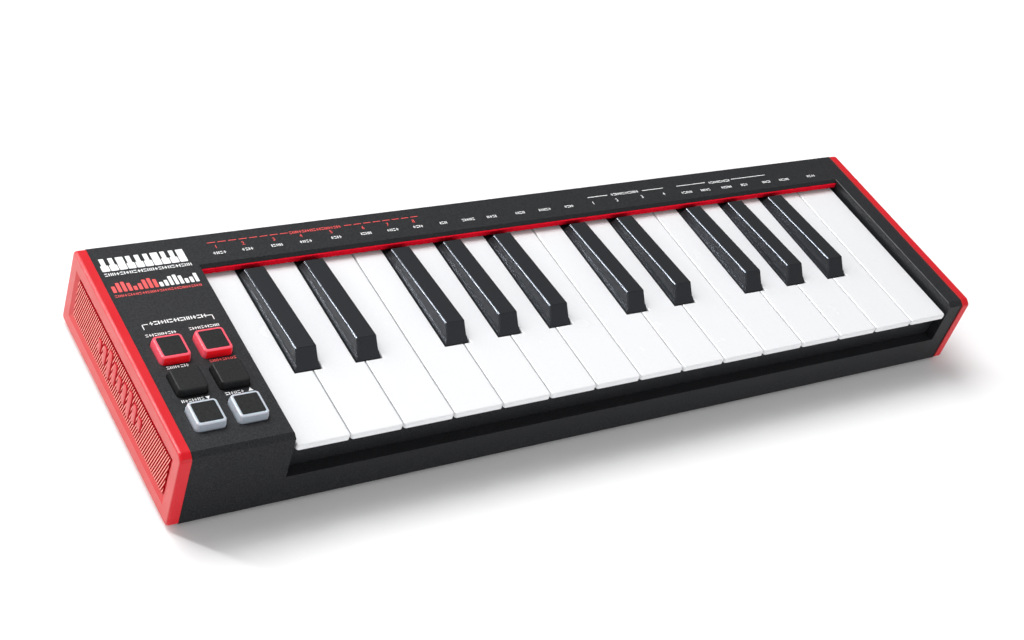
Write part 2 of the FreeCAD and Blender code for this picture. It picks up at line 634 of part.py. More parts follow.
def key_pivot_rod():
    last = necks()[-1][0] + NECK_WIDTH["white"] / 2
    return rod_x(ROD_R, (FRAME_X[0] + 0.2, last + NECK_PLAY + LUG_THICK), PIVOT_Y, PIVOT_Z)


def dome_strip():
    pieces = [box(DOME_STRIP_X, (DOME_Y - DOME_STRIP_HALF, DOME_Y + DOME_STRIP_HALF), DOME_BASE_Z)]
    height = DOME_TOP - DOME_BASE_Z[1] + 0.2
    for x, kind in necks():
        pieces.append(Part.makeCone(DOME_RADII[0], DOME_RADII[1], height, vec(x, DOME_Y, DOME_BASE_Z[1] - 0.2)))
    return joined(pieces)


def contact_board():
    board = box(CONTACT_BOARD_X, CONTACT_BOARD_Y, CONTACT_BOARD_Z)
    plug = box(*CONTACT_HEADER, (CONTACT_HEADER_BOTTOM, CONTACT_BOARD_Z[0] + 0.1))
    through = (CONTACT_BOARD_Z[0] - 1.0, CONTACT_BOARD_Z[1] + 1.0)
    holes = [post(x, CONTACT_SCREW_Y, BOARD_HOLE_R, through) for x in CONTACT_SCREW_X]
    return board.fuse(plug).removeSplitter().cut(holes)


def key_felts():
    """Felt under the frame that the key hooks come up against, and on it, where pressed keys land."""
    x = (FRAME_X[0] + 1.0, FRAME_X[1] - 1.0)
    strips = [box(x, y, STOP_FELT_Z) for y in STOP_FELT_Y]
    strips += [box(x, y, (FRAME_Z[1], top)) for y, top in REST_FELTS]
    return Part.makeCompound(strips)


def felt_strip():
    z = (FELT_SEAT_Z[0] + 0.05, FELT_SEAT_Z[1])
    strip = box((BAY_LEFT + 0.2, BAY_RIGHT - 0.2), (FELT_FRONT, FELT_SEAT_Y), z)
    front = [e for e in strip.Edges if e.BoundBox.YMax < FELT_FRONT + 0.01 and e.BoundBox.XLength > 10.0]
    return strip.makeFillet(0.35, front)


# ---------------------------------------------------------------- buttons and boards
def button(x, y, with_inset):
    """A soft-edged square button with a skirt, a retaining flange and a stem."""
    foot = square_ring(x, y, BUTTON_FOOT, BUTTON_CORNER, BUTTON_FLANGE_Z[0] + 0.4)
    shoulder = square_ring(x, y, BUTTON_FOOT, BUTTON_CORNER, BUTTON_SHOULDER)
    crown = square_ring(x, y, BUTTON_CROWN, BUTTON_CORNER, BUTTON_TOP)
    body = Part.makeLoft([foot, shoulder], True, True).fuse(Part.makeLoft([shoulder, crown], True, True))
    body = body.removeSplitter()
    rim = [e for e in body.Edges if e.BoundBox.ZMin > BUTTON_TOP - 0.01]
    body = body.makeFillet(BUTTON_EDGE, rim)
    flange = rounded_block(x, y, BUTTON_FLANGE, BUTTON_HOLE_CORNER, BUTTON_FLANGE_Z)
    stem = post(x, y, BUTTON_STEM_R, (BUTTON_STEM_BOTTOM, BUTTON_FLANGE_Z[0] + 0.5))
    whole = joined([body, flange, stem])
    if with_inset:
        seat = (BUTTON_TOP - INSET_DEPTH, BUTTON_TOP + 1.0)
        return whole.cut(rounded_block(x, y, INSET_SIDE, INSET_CORNER, seat))
    return whole


def button_inset(x, y):
    """The opaque face let into the top of a light-up button."""
    z = (BUTTON_TOP - INSET_DEPTH, BUTTON_TOP + INSET_PROUD)
    plate = rounded_block(x, y, INSET_SIDE - 0.02, INSET_CORNER, z)
    rim = [e for e in plate.Edges if e.BoundBox.ZMin > BUTTON_TOP + INSET_PROUD - 0.01]
    return plate.makeFillet(0.1, rim)


def header(low, high):
    """The socket that takes the upright cable, from one height to another."""
    return block_at(HEADER_X, HEADER_Y, HEADER_SIZE[0], HEADER_SIZE[1], (low, high))


def button_board():
    x0, x1, y0, y1 = BUTTON_BOARD
    tongue = box(BUTTON_TONGUE[0], (BUTTON_TONGUE[1], y0 + 1.0), BUTTON_BOARD_Z)
    board = joined([box((x0, x1), (y0, y1), BUTTON_BOARD_Z), tongue,
                    header(HEADER_TOP_Z, BUTTON_BOARD_Z[0] + 0.1)])
    through = (BUTTON_BOARD_Z[0] - 1.0, BUTTON_BOARD_Z[1] + 1.0)
    return board.cut([post(x, y, BOARD_HOLE_R, through) for x, y in BUTTON_BOARD_SCREWS])


def main_board():
    x0, x1, y0, y1 = MAIN_BOARD
    top = MAIN_BOARD_Z[1]
    chips = [header(top - 0.1, top + HEADER_HEIGHT)]
    for x, y, side_x, side_y, height in CHIPS:
        chips.append(block_at(x, y, side_x, side_y, (top - 0.1, top + height)))
    board = joined([box((x0, x1), (y0, y1), MAIN_BOARD_Z)] + chips)
    through = (MAIN_BOARD_Z[0] - 1.0, top + 1.0)
    return board.cut([post(x, y, BOARD_HOLE_R, through) for x, y in MAIN_SCREWS])


def tact_switches():
    switches = []
    for x in BUTTON_X:
        for y in BUTTON_Y:
            base = block_at(x, y, SWITCH_SIDE, SWITCH_SIDE, (BUTTON_BOARD_Z[1], SWITCH_TOP))
            stem = post(x, y, SWITCH_STEM[0], (SWITCH_TOP - 0.2, SWITCH_STEM[1]))
            switches.append(base.fuse(stem).removeSplitter())
    return Part.makeCompound(switches)


def button_leds():
    leds = []
    for x in BUTTON_X:
        for y in (BUTTON_Y[0], BUTTON_Y[2]):
            z = (BUTTON_BOARD_Z[1], BUTTON_BOARD_Z[1] + LED_SIZE[2])
            leds.append(block_at(x, y + LED_OFFSET, LED_SIZE[0], LED_SIZE[1], z))
    return Part.makeCompound(leds)


def ribbon_cables():
    """Flat cables from the main board: one up to the button board, one under the case wall to the contacts."""
    z = (MAIN_BOARD_Z[1] + HEADER_HEIGHT, HEADER_TOP_Z)
    upright = block_at(HEADER_X, HEADER_Y, HEADER_SIZE[0] - 1.0, RIBBON_THICK, z)
    return Part.makeCompound([upright, box(*FLAT_RIBBON)])


def usb_socket():
    """A square data socket on the main board, open to the rear."""
    base = MAIN_BOARD_Z[1]
    width, depth, height = USB_SIZE
    shell = box((USB_X - width / 2, USB_X + width / 2), (CASE_REAR - depth, CASE_REAR), (base, base + height))
    middle = base + height / 2
    mouth_y = (CASE_REAR - USB_MOUTH_DEPTH, CASE_REAR + 1.0)
    mouth = box((USB_X - USB_MOUTH[0] / 2, USB_X + USB_MOUTH[0] / 2), mouth_y,
                (middle - USB_MOUTH[1] / 2, middle + USB_MOUTH[1] / 2))
    tongue_y = (mouth_y[0] - 0.5, CASE_REAR - 1.5)
    tongue = box((USB_X - USB_TONGUE[0] / 2, USB_X + USB_TONGUE[0] / 2), tongue_y,
                 (middle - USB_TONGUE[1] / 2, middle + USB_TONGUE[1] / 2))
    return shell.cut(mouth).fuse(tongue).removeSplitter()


def sustain_jack():
    """The pedal socket: a body on the main board and a nose in the rear wall."""
    width, depth, height = JACK_BODY
    body = box((JACK_X - width / 2, JACK_X + width / 2), (CASE_REAR - WALL - depth, CASE_REAR - WALL - 0.1),
               (MAIN_BOARD_Z[1], MAIN_BOARD_Z[1] + height))
    nose = rod_y(JACK_NOSE_R, JACK_X, (CASE_REAR - WALL - 1.0, CASE_REAR), JACK_Z)
    bore = rod_y(JACK_BORE_R, JACK_X, (CASE_REAR - JACK_BORE_LENGTH, CASE_REAR + 1.0), JACK_Z)
    return body.fuse(nose).removeSplitter().cut(bore)


# ---------------------------------------------------------------- fasteners
def case_screws():
    return Part.makeCompound([screw_up(x, y, COVER_Z[0] + 0.1, *CASE_SCREW) for x, y in cover_screw_places()])


def board_screws():
    radii = (BOARD_SCREW_HEAD_R, BOARD_SCREW_R)
    screws = []
    for x, y in BUTTON_BOARD_SCREWS:
        head_z = BUTTON_BOARD_Z[0] - SCREW_HEAD_HEIGHT
        screws.append(screw_up(x, y, head_z, *radii, BUTTON_BOARD_SCREW_LENGTH))
    for x in CONTACT_SCREW_X:
        head_z = CONTACT_BOARD_Z[0] - SCREW_HEAD_HEIGHT
        screws.append(screw_up(x, CONTACT_SCREW_Y, head_z, *radii, CONTACT_SCREW_LENGTH))
    seat = MAIN_BOARD_Z[1]
    for x, y in MAIN_SCREWS:
        head = post(x, y, radii[0], (seat, seat + SCREW_HEAD_HEIGHT))
        screws.append(head.fuse(post(x, y, radii[1], (seat - MAIN_SCREW_LENGTH, seat))).removeSplitter())
    return Part.makeCompound(screws)


def cap_screws():
    screws = []
    for side in (-1, 1):
        wall = side * (CASE_HALF - WALL)
        for y in CAP_SCREW_Y:
            head_end = wall - side * CAP_SCREW_HEAD[1]
            tip = wall + side * CAP_SCREW_SHANK[1]
            head = rod_x(CAP_SCREW_HEAD[0], (min(wall, head_end), max(wall, head_end)), y, CAP_SCREW_Z)
            shank = rod_x(CAP_SCREW_SHANK[0], (min(wall, tip), max(wall, tip)), y, CAP_SCREW_Z)
            screws.append(head.fuse(shank).removeSplitter())
    return Part.makeCompound(screws)


# ---------------------------------------------------------------- write every node
os.makedirs("parts", exist_ok=True)

for number in range(WHITE_KEYS):
    save("white_key_%02d" % (number + 1), white_key(number))
for number in range(len(BLACK_PLACES)):
    save("black_key_%02d" % (number + 1), black_key(number))

for row, button_y in enumerate(BUTTON_Y):
    for column, button_x in enumerate(BUTTON_X):
        lit = row != 1
        save(BUTTON_NAMES[row][column], button(button_x, button_y, lit))
        if lit:
            save(BUTTON_NAMES[row][column] + "_face", button_inset(button_x, button_y))

left_panel, right_side, front_rail, recess_wall, rear_strip = case_pieces()
save("case_left_panel", left_panel)
save("case_right_side", right_side)
save("case_front_rail", front_rail)
save("case_recess_wall", recess_wall)
save("case_rear_strip", rear_strip)
save("bottom_cover", bottom_cover())
save("left_end_cap", end_cap(-1))
save("right_end_cap", end_cap(1))
save("rubber_feet", rubber_feet())
save("felt_strip", felt_strip())
save("key_frame", key_frame())
save("key_pivot_rod", key_pivot_rod())
save("key_felts", key_felts())
save("dome_strip", dome_strip())
save("contact_board", contact_board())
save("button_board", button_board())
save("main_board", main_board())
save("tact_switches", tact_switches())
save("button_leds", button_leds())
save("ribbon_cables", ribbon_cables())
save("usb_socket", usb_socket())
save("sustain_jack", sustain_jack())
save("case_screws", case_screws())
save("board_screws", board_screws())
save("cap_screws", cap_screws())
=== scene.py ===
"""Looks of a mini midi keyboard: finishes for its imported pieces, and fine pieces modelled around them."""

import json
import logging
import math
from dataclasses import dataclass, field
from enum import Enum
from typing import Callable, Iterable, Sequence

import bpy
from mathutils import Matrix, Vector


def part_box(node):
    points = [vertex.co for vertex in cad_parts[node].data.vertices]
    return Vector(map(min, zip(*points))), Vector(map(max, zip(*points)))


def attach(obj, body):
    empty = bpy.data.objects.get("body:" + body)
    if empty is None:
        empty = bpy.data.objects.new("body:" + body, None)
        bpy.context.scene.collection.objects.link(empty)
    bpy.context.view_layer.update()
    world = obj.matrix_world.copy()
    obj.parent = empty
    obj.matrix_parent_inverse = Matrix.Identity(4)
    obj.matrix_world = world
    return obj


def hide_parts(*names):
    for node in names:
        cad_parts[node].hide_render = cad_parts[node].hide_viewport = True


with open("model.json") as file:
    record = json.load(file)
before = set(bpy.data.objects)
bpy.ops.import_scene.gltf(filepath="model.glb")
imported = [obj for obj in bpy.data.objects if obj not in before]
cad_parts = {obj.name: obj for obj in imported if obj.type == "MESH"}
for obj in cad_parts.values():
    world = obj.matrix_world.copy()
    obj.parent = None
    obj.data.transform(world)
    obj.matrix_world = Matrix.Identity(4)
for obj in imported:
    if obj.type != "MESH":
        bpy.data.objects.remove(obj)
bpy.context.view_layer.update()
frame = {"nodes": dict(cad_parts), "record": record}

LOG = logging.getLogger("midi_keyboard")
MM = 0.001
CLOSE = 1e-3             # places this near, in millimetres, count as one

Colour = tuple[float, float, float]
Point = tuple[float, float, float]
Span = tuple[float, float]
Socket = bpy.types.NodeSocket


# ---------------------------------------------------------------- finishes
MIX_FACTOR, MIX_FIRST, MIX_SECOND, MIX_RESULT = 0, 6, 7, 2     # a Mix node's colour sockets
PATTERN_RANGE = (0.3, 0.7)     # where most of a noise pattern's values lie
SQUARE_ON = (0.8, 0.97)        # how far along an axis the normal of a face that looks along it reaches


class Detail(Enum):
    """How many finer layers a noise pattern has."""

    PLAIN = 2.0
    SOFT = 3.0
    CRISP = 4.0
    HAIRY = 6.0


class Graph:
    """A material's node tree, with short calls to add and join its nodes."""

    def __init__(self, name: str) -> None:
        """Start a material with one Principled shader.

        Args:
            name: The material's name.
        """
        self.material = bpy.data.materials.new(name)
        self.material.use_nodes = True
        self.tree = self.material.node_tree
        self.shader = self.tree.nodes["Principled BSDF"]
        self.place = self.tree.nodes.new("ShaderNodeTexCoord").outputs["Object"]

    def set(self, **sockets: float | Colour) -> None:
        """Set the shader's sockets to plain values.

        Args:
            **sockets: The values by socket name, with underscores for spaces.
        """
        for name, value in sockets.items():
            socket = self.shader.inputs[name.replace("_", " ")]
            socket.default_value = (*value, 1.0) if isinstance(value, tuple) and len(value) == 3 else value

    def node(self, kind: str, **settings: object) -> bpy.types.Node:
        """Add a node.

        Args:
            kind: The node's type name without the ShaderNode prefix.
            **settings: Values for its properties, or for its inputs by their socket name.

        Returns:
            The new node.
        """
        node = self.tree.nodes.new("ShaderNode" + kind)
        for name, value in settings.items():
            if hasattr(node, name):
                setattr(node, name, value)
            else:
                node.inputs[name.replace("_", " ")].default_value = value
        return node

    def join(self, source: Socket, target: Socket) -> None:
        """Link one socket to another."""
        self.tree.links.new(source, target)

    def feed(self, name: str, source: Socket) -> None:
        """Link a value to the shader's socket of that name."""
        self.join(source, self.shader.inputs[name])

    def noise(self, feature_mm: float, detail: Detail, stretch: Point = (1.0, 1.0, 1.0)) -> Socket:
        """A noise pattern fixed to the piece.

        Args:
            feature_mm: Rough size of one blotch.
            detail: How fine it gets.
            stretch: Scale along each axis before the pattern is read.

        Returns:
            The pattern's value socket.
        """
        mapping = self.node("Mapping")
        mapping.inputs["Scale"].default_value = stretch
        self.join(self.place, mapping.inputs["Vector"])
        noise = self.node("TexNoise", Scale=1.0 / (feature_mm * MM), Detail=detail.value)
        self.join(mapping.outputs["Vector"], noise.inputs["Vector"])
        return noise.outputs["Fac"]

    def ramp(self, value: Socket, low: float, high: float, reach: Span = PATTERN_RANGE) -> Socket:
        """Map a pattern's values from one range onto another.

        Args:
            value: The pattern's value socket.
            low: The result at the start of the range.
            high: The result at its end.
            reach: The range of values that is read.

        Returns:
            The result's socket.
        """
        node = self.node("MapRange")
        node.inputs["From Min"].default_value, node.inputs["From Max"].default_value = reach
        node.inputs["To Min"].default_value = low
        node.inputs["To Max"].default_value = high
        self.join(value, node.inputs["Value"])
        return node.outputs["Result"]

    def mix(self, value: Socket, first: Colour | Socket, second: Colour | Socket) -> Socket:
        """Blend two colours by a pattern.

        Args:
            value: The pattern's value socket.
            first: The colour where the pattern is 0.
            second: The colour where it is 1.

        Returns:
            The blended colour's socket.
        """
        node = self.node("Mix", data_type="RGBA")
        for index, colour in ((MIX_FIRST, first), (MIX_SECOND, second)):
            if isinstance(colour, tuple):
                node.inputs[index].default_value = (*colour, 1.0)
            else:
                self.join(colour, node.inputs[index])
        self.join(value, node.inputs[MIX_FACTOR])
        return node.outputs[MIX_RESULT]

    def facing(self, axis: str, away: float, toward: float, reach: Span = SQUARE_ON) -> Socket:
        """A value that changes with how squarely a face points along an axis, either way.

        Args:
            axis: "X", "Y" or "Z".
            away: Its value on faces that point elsewhere.
            toward: Its value on faces that point along the axis.
            reach: How far along the axis a face's normal reaches where the change starts and ends.

        Returns:
            The value's socket.
        """
        split = self.node("SeparateXYZ")
        self.join(self.node("NewGeometry").outputs["Normal"], split.inputs["Vector"])
        size = self.node("Math", operation="ABSOLUTE")
        self.join(split.outputs[axis], size.inputs[0])
        node = self.node("MapRange", interpolation_type="SMOOTHSTEP")
        node.inputs["From Min"].default_value, node.inputs["From Max"].default_value = reach
        node.inputs["To Min"].default_value = away
        node.inputs["To Max"].default_value = toward
        self.join(size.outputs[0], node.inputs["Value"])
        return node.outputs["Result"]

    def product(self, first: Socket, second: Socket) -> Socket:
        """Multiply two values.

        Args:
            first: One value's socket.
            second: The other's.

        Returns:
            Their product's socket.
        """
        node = self.node("Math", operation="MULTIPLY")
        self.join(first, node.inputs[0])
        self.join(second, node.inputs[1])
        return node.outputs[0]

    def bump(self, height: Socket, depth_mm: float, under: Socket | None = None) -> Socket:
        """Raise the surface by a pattern.

        Args:
            height: The pattern's value socket.
            depth_mm: How far it stands up.
            under: The normal of a coarser bump below it, if there is one.

        Returns:
            The normal socket.
        """
        node = self.node("Bump", Strength=1.0, Distance=depth_mm * MM)
        self.join(height, node.inputs["Height"])
        if under is not None:
            self.join(under, node.inputs["Normal"])
        return node.outputs["Normal"]


@dataclass(frozen=True)
class Plastic:
    """Moulded plastic with a fine surface grain and slight unevenness of colour and gloss."""

    name: str
    colour: Colour
    speckle: Colour
    roughness: Span
    grain_mm: float = 0.35
    grain_depth_mm: float = 0.01
    specular: float = 0.5
    blotch_mm: float = 14.0

    def material(self) -> bpy.types.Material:
        """Build the material.

        Returns:
            The finished material.
        """
        graph = Graph(self.name)
        grain = graph.noise(self.grain_mm, Detail.SOFT)
        blotch = graph.noise(self.blotch_mm, Detail.CRISP)
        graph.feed("Base Color", graph.mix(graph.ramp(grain, 0.0, 1.0), self.colour, self.speckle))
        graph.feed("Roughness", graph.ramp(blotch, *self.roughness))
        graph.feed("Normal", graph.bump(grain, self.grain_depth_mm))
        graph.set(Specular_IOR_Level=self.specular)
        return graph.material


@dataclass(frozen=True)
class SideGlossPlastic:
    """Plastic with a speckled grain on top, smoother on its sides and duller in front and behind."""

    name: str
    colour: Colour
    speckle: Colour
    top_roughness: float
    side_roughness: float
    top_specular: float
    side_specular: float
    grain_mm: float = 0.4
    grain_depth_mm: float = 0.02
    end_gain: float = 1.0
    side_grain: float = 0.15

    def material(self) -> bpy.types.Material:
        """Build the material.

        Returns:
            The finished material.
        """
        graph = Graph(self.name)
        grain = graph.noise(self.grain_mm, Detail.CRISP)
        graph.feed("Base Color", graph.mix(graph.ramp(grain, 0.0, 1.0), self.colour, self.speckle))
        graph.feed("Roughness", graph.facing("Z", self.side_roughness, self.top_roughness))
        specular = graph.product(graph.facing("Z", self.side_specular, self.top_specular),
                                 graph.facing("Y", 1.0, self.end_gain))
        graph.feed("Specular IOR Level", specular)
        height = graph.product(grain, graph.facing("Z", self.side_grain, 1.0))
        graph.feed("Normal", graph.bump(height, self.grain_depth_mm))
        return graph.material


@dataclass(frozen=True)
class BlackKeyPlastic:
    """Satin plastic, dull on its top and ends, with polished long edges and smooth flanks."""

    name: str
    colour: Colour
    speckle: Colour
    roughness: Span
    top_specular: float
    edge_specular: float
    flank_gain: float
    tint: Colour
    flank_dulling: float = 2.2
    onto_edge: Span = (0.2, 0.45)
    onto_flank: Span = (0.9, 0.985)
    grain_mm: float = 0.3
    grain_depth_mm: float = 0.006

    def material(self) -> bpy.types.Material:
        """Build the material.

        Returns:
            The finished material.
        """
        graph = Graph(self.name)
        grain = graph.noise(self.grain_mm, Detail.CRISP)
        edge_roughness, top_roughness = self.roughness
        graph.feed("Base Color", graph.mix(graph.ramp(grain, 0.0, 1.0), self.colour, self.speckle))
        roughness = graph.product(graph.facing("X", top_roughness, edge_roughness, self.onto_edge),
                                  graph.facing("X", 1.0, self.flank_dulling, self.onto_flank))
        graph.feed("Roughness", roughness)
        specular = graph.product(graph.facing("X", self.top_specular, self.edge_specular, self.onto_edge),
                                 graph.facing("X", 1.0, self.flank_gain, self.onto_flank))
        graph.feed("Specular IOR Level", specular)
        height = graph.product(grain, graph.facing("X", 1.0, 0.0, self.onto_edge))
        graph.feed("Normal", graph.bump(height, self.grain_depth_mm))
        graph.set(Specular_Tint=self.tint)
        return graph.material


@dataclass(frozen=True)
class CapPlastic:
    """Coloured plastic whose broad outer side is etched and carries a painted sheen, a paler salmon
    speckled by the etch, and whose edges are smooth.
    """

    name: str
    colour: Colour
    # pale salmon painted onto the broad outer sides as a sheen
    milky: Colour
    roughness: float
    side_specular: float
    edge_specular: float
    etch_mm: float = 0.3
    etch_depth_mm: float = 0.006
    least_milk: float = 0.6
    patch_mm: float = 9.0
    unevenness: float = 0.04

    def material(self) -> bpy.types.Material:
        """Build the material.

        Returns:
            The finished material.
        """
        graph = Graph(self.name)
        etch = graph.noise(self.etch_mm, Detail.CRISP)
        # Faces that look along X are painted towards the salmon, speckled by the etch: this is a painted
        # sheen.
        depth = graph.product(graph.ramp(etch, self.least_milk, 1.0), graph.facing("X", 0.0, 1.0))
        graph.feed("Base Color", graph.mix(depth, self.colour, self.milky))
        graph.feed("Specular IOR Level", graph.facing("X", self.edge_specular, self.side_specular))
        patches = graph.noise(self.patch_mm, Detail.PLAIN)
        graph.feed("Roughness", graph.ramp(patches, self.roughness - self.unevenness,
                                           self.roughness + self.unevenness))
        graph.feed("Normal", graph.bump(etch, self.etch_depth_mm))
        return graph.material


@dataclass(frozen=True)
class Rubber:
    """Silicone rubber, translucent or opaque, with a painted glow where one is set; its front and rear can
    take another colour than its other faces, which paints light and shade by facing.
    """

    name: str
    colour: Colour
    roughness: float
    depth: float = 0.0
    # emission strength: a painted glow, not a lamp
    glow: float = 0.0
    specular: float = 0.5
    # colour of the faces that look along Y; set against the main colour, it paints light and shade by
    # facing
    front: Colour | None = None
    grain_mm: float = 0.5
    grain_depth_mm: float = 0.004
    paleness: float = 0.01
    patch_mm: float = 3.0
    unevenness: float = 0.05
    scatter_mm: float = 2.5
    scatter: Colour = (1.0, 0.5, 0.5)

    def material(self) -> bpy.types.Material:
        """Build the material.

        Returns:
            The finished material.
        """
        graph = Graph(self.name)
        grain = graph.noise(self.grain_mm, Detail.PLAIN)
        # The faces that look along Y take the front colour and the others take the main colour, so light
        # and shade are painted by facing.
        painted_facing_light = graph.mix(graph.facing("Y", 0.0, 1.0), self.colour, self.front or self.colour)
        paler = graph.node("BrightContrast", Bright=self.paleness)
        graph.join(painted_facing_light, paler.inputs["Color"])
        graph.feed("Base Color", graph.mix(graph.ramp(grain, 0.0, 1.0), painted_facing_light, paler.outputs["Color"]))
        patches = graph.noise(self.patch_mm, Detail.PLAIN)
        graph.feed("Roughness", graph.ramp(patches, self.roughness - self.unevenness,
                                           self.roughness + self.unevenness))
        graph.feed("Normal", graph.bump(grain, self.grain_depth_mm))
        # The emission, in the same facing colours, is a painted glow.
        graph.feed("Emission Color", painted_facing_light)
        graph.set(Subsurface_Weight=self.depth, Subsurface_Scale=self.scatter_mm * MM,
                  Emission_Strength=self.glow, Specular_IOR_Level=self.specular)
        graph.shader.inputs["Subsurface Radius"].default_value = self.scatter
        return graph.material


@dataclass(frozen=True)
class Felt:
    """Pressed wool: short fibres lying every way, soft at grazing angles."""

    name: str
    colour: Colour
    deep: Colour
    fibre_mm: float = 0.22
    fibre_depth_mm: float = 0.1
    fibre_stretch: Point = (0.35, 1.0, 1.0)
    clump_mm: float = 1.2
    clump_depth_mm: float = 0.12
    roughness: float = 0.95
    specular: float = 0.1
    sheen: float = 0.6
    sheen_roughness: float = 0.4

    def material(self) -> bpy.types.Material:
        """Build the material.

        Returns:
            The finished material.
        """
        graph = Graph(self.name)
        fibres = graph.noise(self.fibre_mm, Detail.HAIRY, self.fibre_stretch)
        clumps = graph.noise(self.clump_mm, Detail.SOFT)
        graph.feed("Base Color", graph.mix(graph.ramp(fibres, 0.0, 1.0), self.deep, self.colour))
        coarse = graph.bump(clumps, self.clump_depth_mm)
        graph.feed("Normal", graph.bump(fibres, self.fibre_depth_mm, under=coarse))
        graph.set(Roughness=self.roughness, Specular_IOR_Level=self.specular, Sheen_Weight=self.sheen,
                  Sheen_Roughness=self.sheen_roughness, Sheen_Tint=self.colour)
        return graph.material


@dataclass(frozen=True)
class Metal:
    """Plated or blackened steel with faint drawn lines."""

    name: str
    colour: Colour
    roughness: Span
    line_mm: float = 0.3
    line_depth_mm: float = 0.004
    line_stretch: Point = (0.08, 1.0, 1.0)
    dimming: float = 0.8

    def material(self) -> bpy.types.Material:
        """Build the material.

        Returns:
            The finished material.
        """
        graph = Graph(self.name)
        lines = graph.noise(self.line_mm, Detail.SOFT, self.line_stretch)
        dimmer = tuple(channel * self.dimming for channel in self.colour)
        graph.feed("Base Color", graph.mix(graph.ramp(lines, 0.0, 1.0), self.colour, dimmer))
        graph.feed("Roughness", graph.ramp(lines, *self.roughness))
        graph.feed("Normal", graph.bump(lines, self.line_depth_mm))
        graph.set(Metallic=1.0)
        return graph.material


@dataclass(frozen=True)
class BoardLaminate:
    """Green circuit board with copper tracks showing faintly under the mask."""

    name: str
    mask: Colour
    track: Colour
    track_pitch_mm: float = 2.4
    track_edge: Span = (0.06, 0.1)
    track_depth_mm: float = 0.03
    roughness: float = 0.3
    coat: float = 0.4

    def material(self) -> bpy.types.Material:
        """Build the material.

        Returns:
            The finished material.
        """
        graph = Graph(self.name)
        cells = graph.node("TexVoronoi", feature="DISTANCE_TO_EDGE", distance="MANHATTAN",
                           Scale=1.0 / (self.track_pitch_mm * MM))
        graph.join(graph.place, cells.inputs["Vector"])
        edge = graph.ramp(cells.outputs["Distance"], 0.0, 1.0, self.track_edge)
        graph.feed("Base Color", graph.mix(edge, self.track, self.mask))
        graph.feed("Normal", graph.bump(edge, self.track_depth_mm))
        graph.set(Roughness=self.roughness, Coat_Weight=self.coat)
        return graph.material


class Finish(Enum):
    """Every finish on the keyboard, by the record's material slot that it dresses."""

    WHITE_KEY = Plastic("white_key_plastic", (0.735, 0.742, 0.76), (0.755, 0.762, 0.775), (0.2, 0.28),
                        grain_mm=0.6, grain_depth_mm=0.0005)
    BLACK_KEY = BlackKeyPlastic("black_key_plastic", (0.012, 0.0125, 0.014), (0.02, 0.0205, 0.022),
                                (0.14, 0.45), top_specular=0.2, edge_specular=0.9, flank_gain=0.26,
                                tint=(0.78, 0.86, 1.0))
    CASE = SideGlossPlastic("black_case_plastic", (0.008, 0.0085, 0.0095), (0.026, 0.027, 0.03),
                            top_roughness=0.5, side_roughness=0.32, top_specular=0.2, side_specular=0.22,
                            grain_mm=0.45, grain_depth_mm=0.03, end_gain=0.35)
    # The red cap's second colour is the pale salmon of a painted sheen on its broad outer sides.
    CAP = CapPlastic("red_cap_plastic", (0.58, 0.006, 0.014), (0.56, 0.05, 0.045), roughness=0.34,
                     side_specular=0.56, edge_specular=0.3)
    # Two copies of the cap red: a paler one, a painted highlight for the rib crests, and a darker one,
    # painted shade for the rib flanks and the beds under the motif.
    CAP_CREST = Plastic("cap_painted_highlight", (0.85, 0.24, 0.2), (0.9, 0.3, 0.25), (0.45, 0.55), grain_mm=0.3)
    CAP_GROOVE = Plastic("cap_painted_shade", (0.38, 0.0, 0.008), (0.42, 0.0, 0.01), (0.55, 0.65),
                         specular=0.1)
    # The red rubber's pink on its tops and sides is a painted highlight over the deep red of its front, and
    # its emission is a painted glow.
    RED_RUBBER = Rubber("red_translucent_rubber", (0.8, 0.08, 0.12), 0.35, depth=0.2, glow=0.18,
                        specular=0.3, front=(0.86, 0.004, 0.012))
    # The grey rubber's darker front is painted shade, and its emission is a painted glow.
    GREY_RUBBER = Rubber("clear_grey_rubber", (0.45, 0.49, 0.55), 0.35, depth=0.5, glow=0.06,
                         front=(0.36, 0.4, 0.46))
    BLACK_RUBBER = Rubber("black_rubber", (0.008, 0.0083, 0.009), 0.5, specular=0.16)
    FOOT_RUBBER = Rubber("foot_rubber", (0.03, 0.03, 0.03), 0.75)
    SILICONE = Rubber("silicone", (0.55, 0.55, 0.53), 0.45, depth=0.3)
    RED_FELT = Felt("red_felt", (0.86, 0.004, 0.022), (0.4, 0.0, 0.01))
    GREY_FELT = Felt("grey_felt", (0.5, 0.49, 0.47), (0.3, 0.3, 0.29))
    FRAME = Plastic("frame_plastic", (0.03, 0.03, 0.033), (0.036, 0.036, 0.04), (0.45, 0.6))
    BRIGHT_STEEL = Metal("bright_steel", (0.62, 0.62, 0.62), (0.2, 0.35))
    BLACK_STEEL = Metal("black_steel", (0.05, 0.05, 0.055), (0.35, 0.5))
    SOCKET_STEEL = Metal("socket_steel", (0.66, 0.66, 0.68), (0.18, 0.3))
    BOARD = BoardLaminate("board_laminate", (0.012, 0.12, 0.05), (0.03, 0.2, 0.08))
    LED = Plastic("led_plastic", (0.85, 0.85, 0.75), (0.9, 0.9, 0.8), (0.1, 0.2))
    RIBBON = Plastic("ribbon_plastic", (0.42, 0.42, 0.44), (0.5, 0.5, 0.52), (0.4, 0.5))
    WHITE_INK = Plastic("white_ink", (0.84, 0.85, 0.86), (0.9, 0.9, 0.91), (0.4, 0.5), grain_mm=0.2)
    RED_INK = Plastic("red_ink", (0.8, 0.07, 0.07), (0.86, 0.09, 0.09), (0.4, 0.5), grain_mm=0.2)


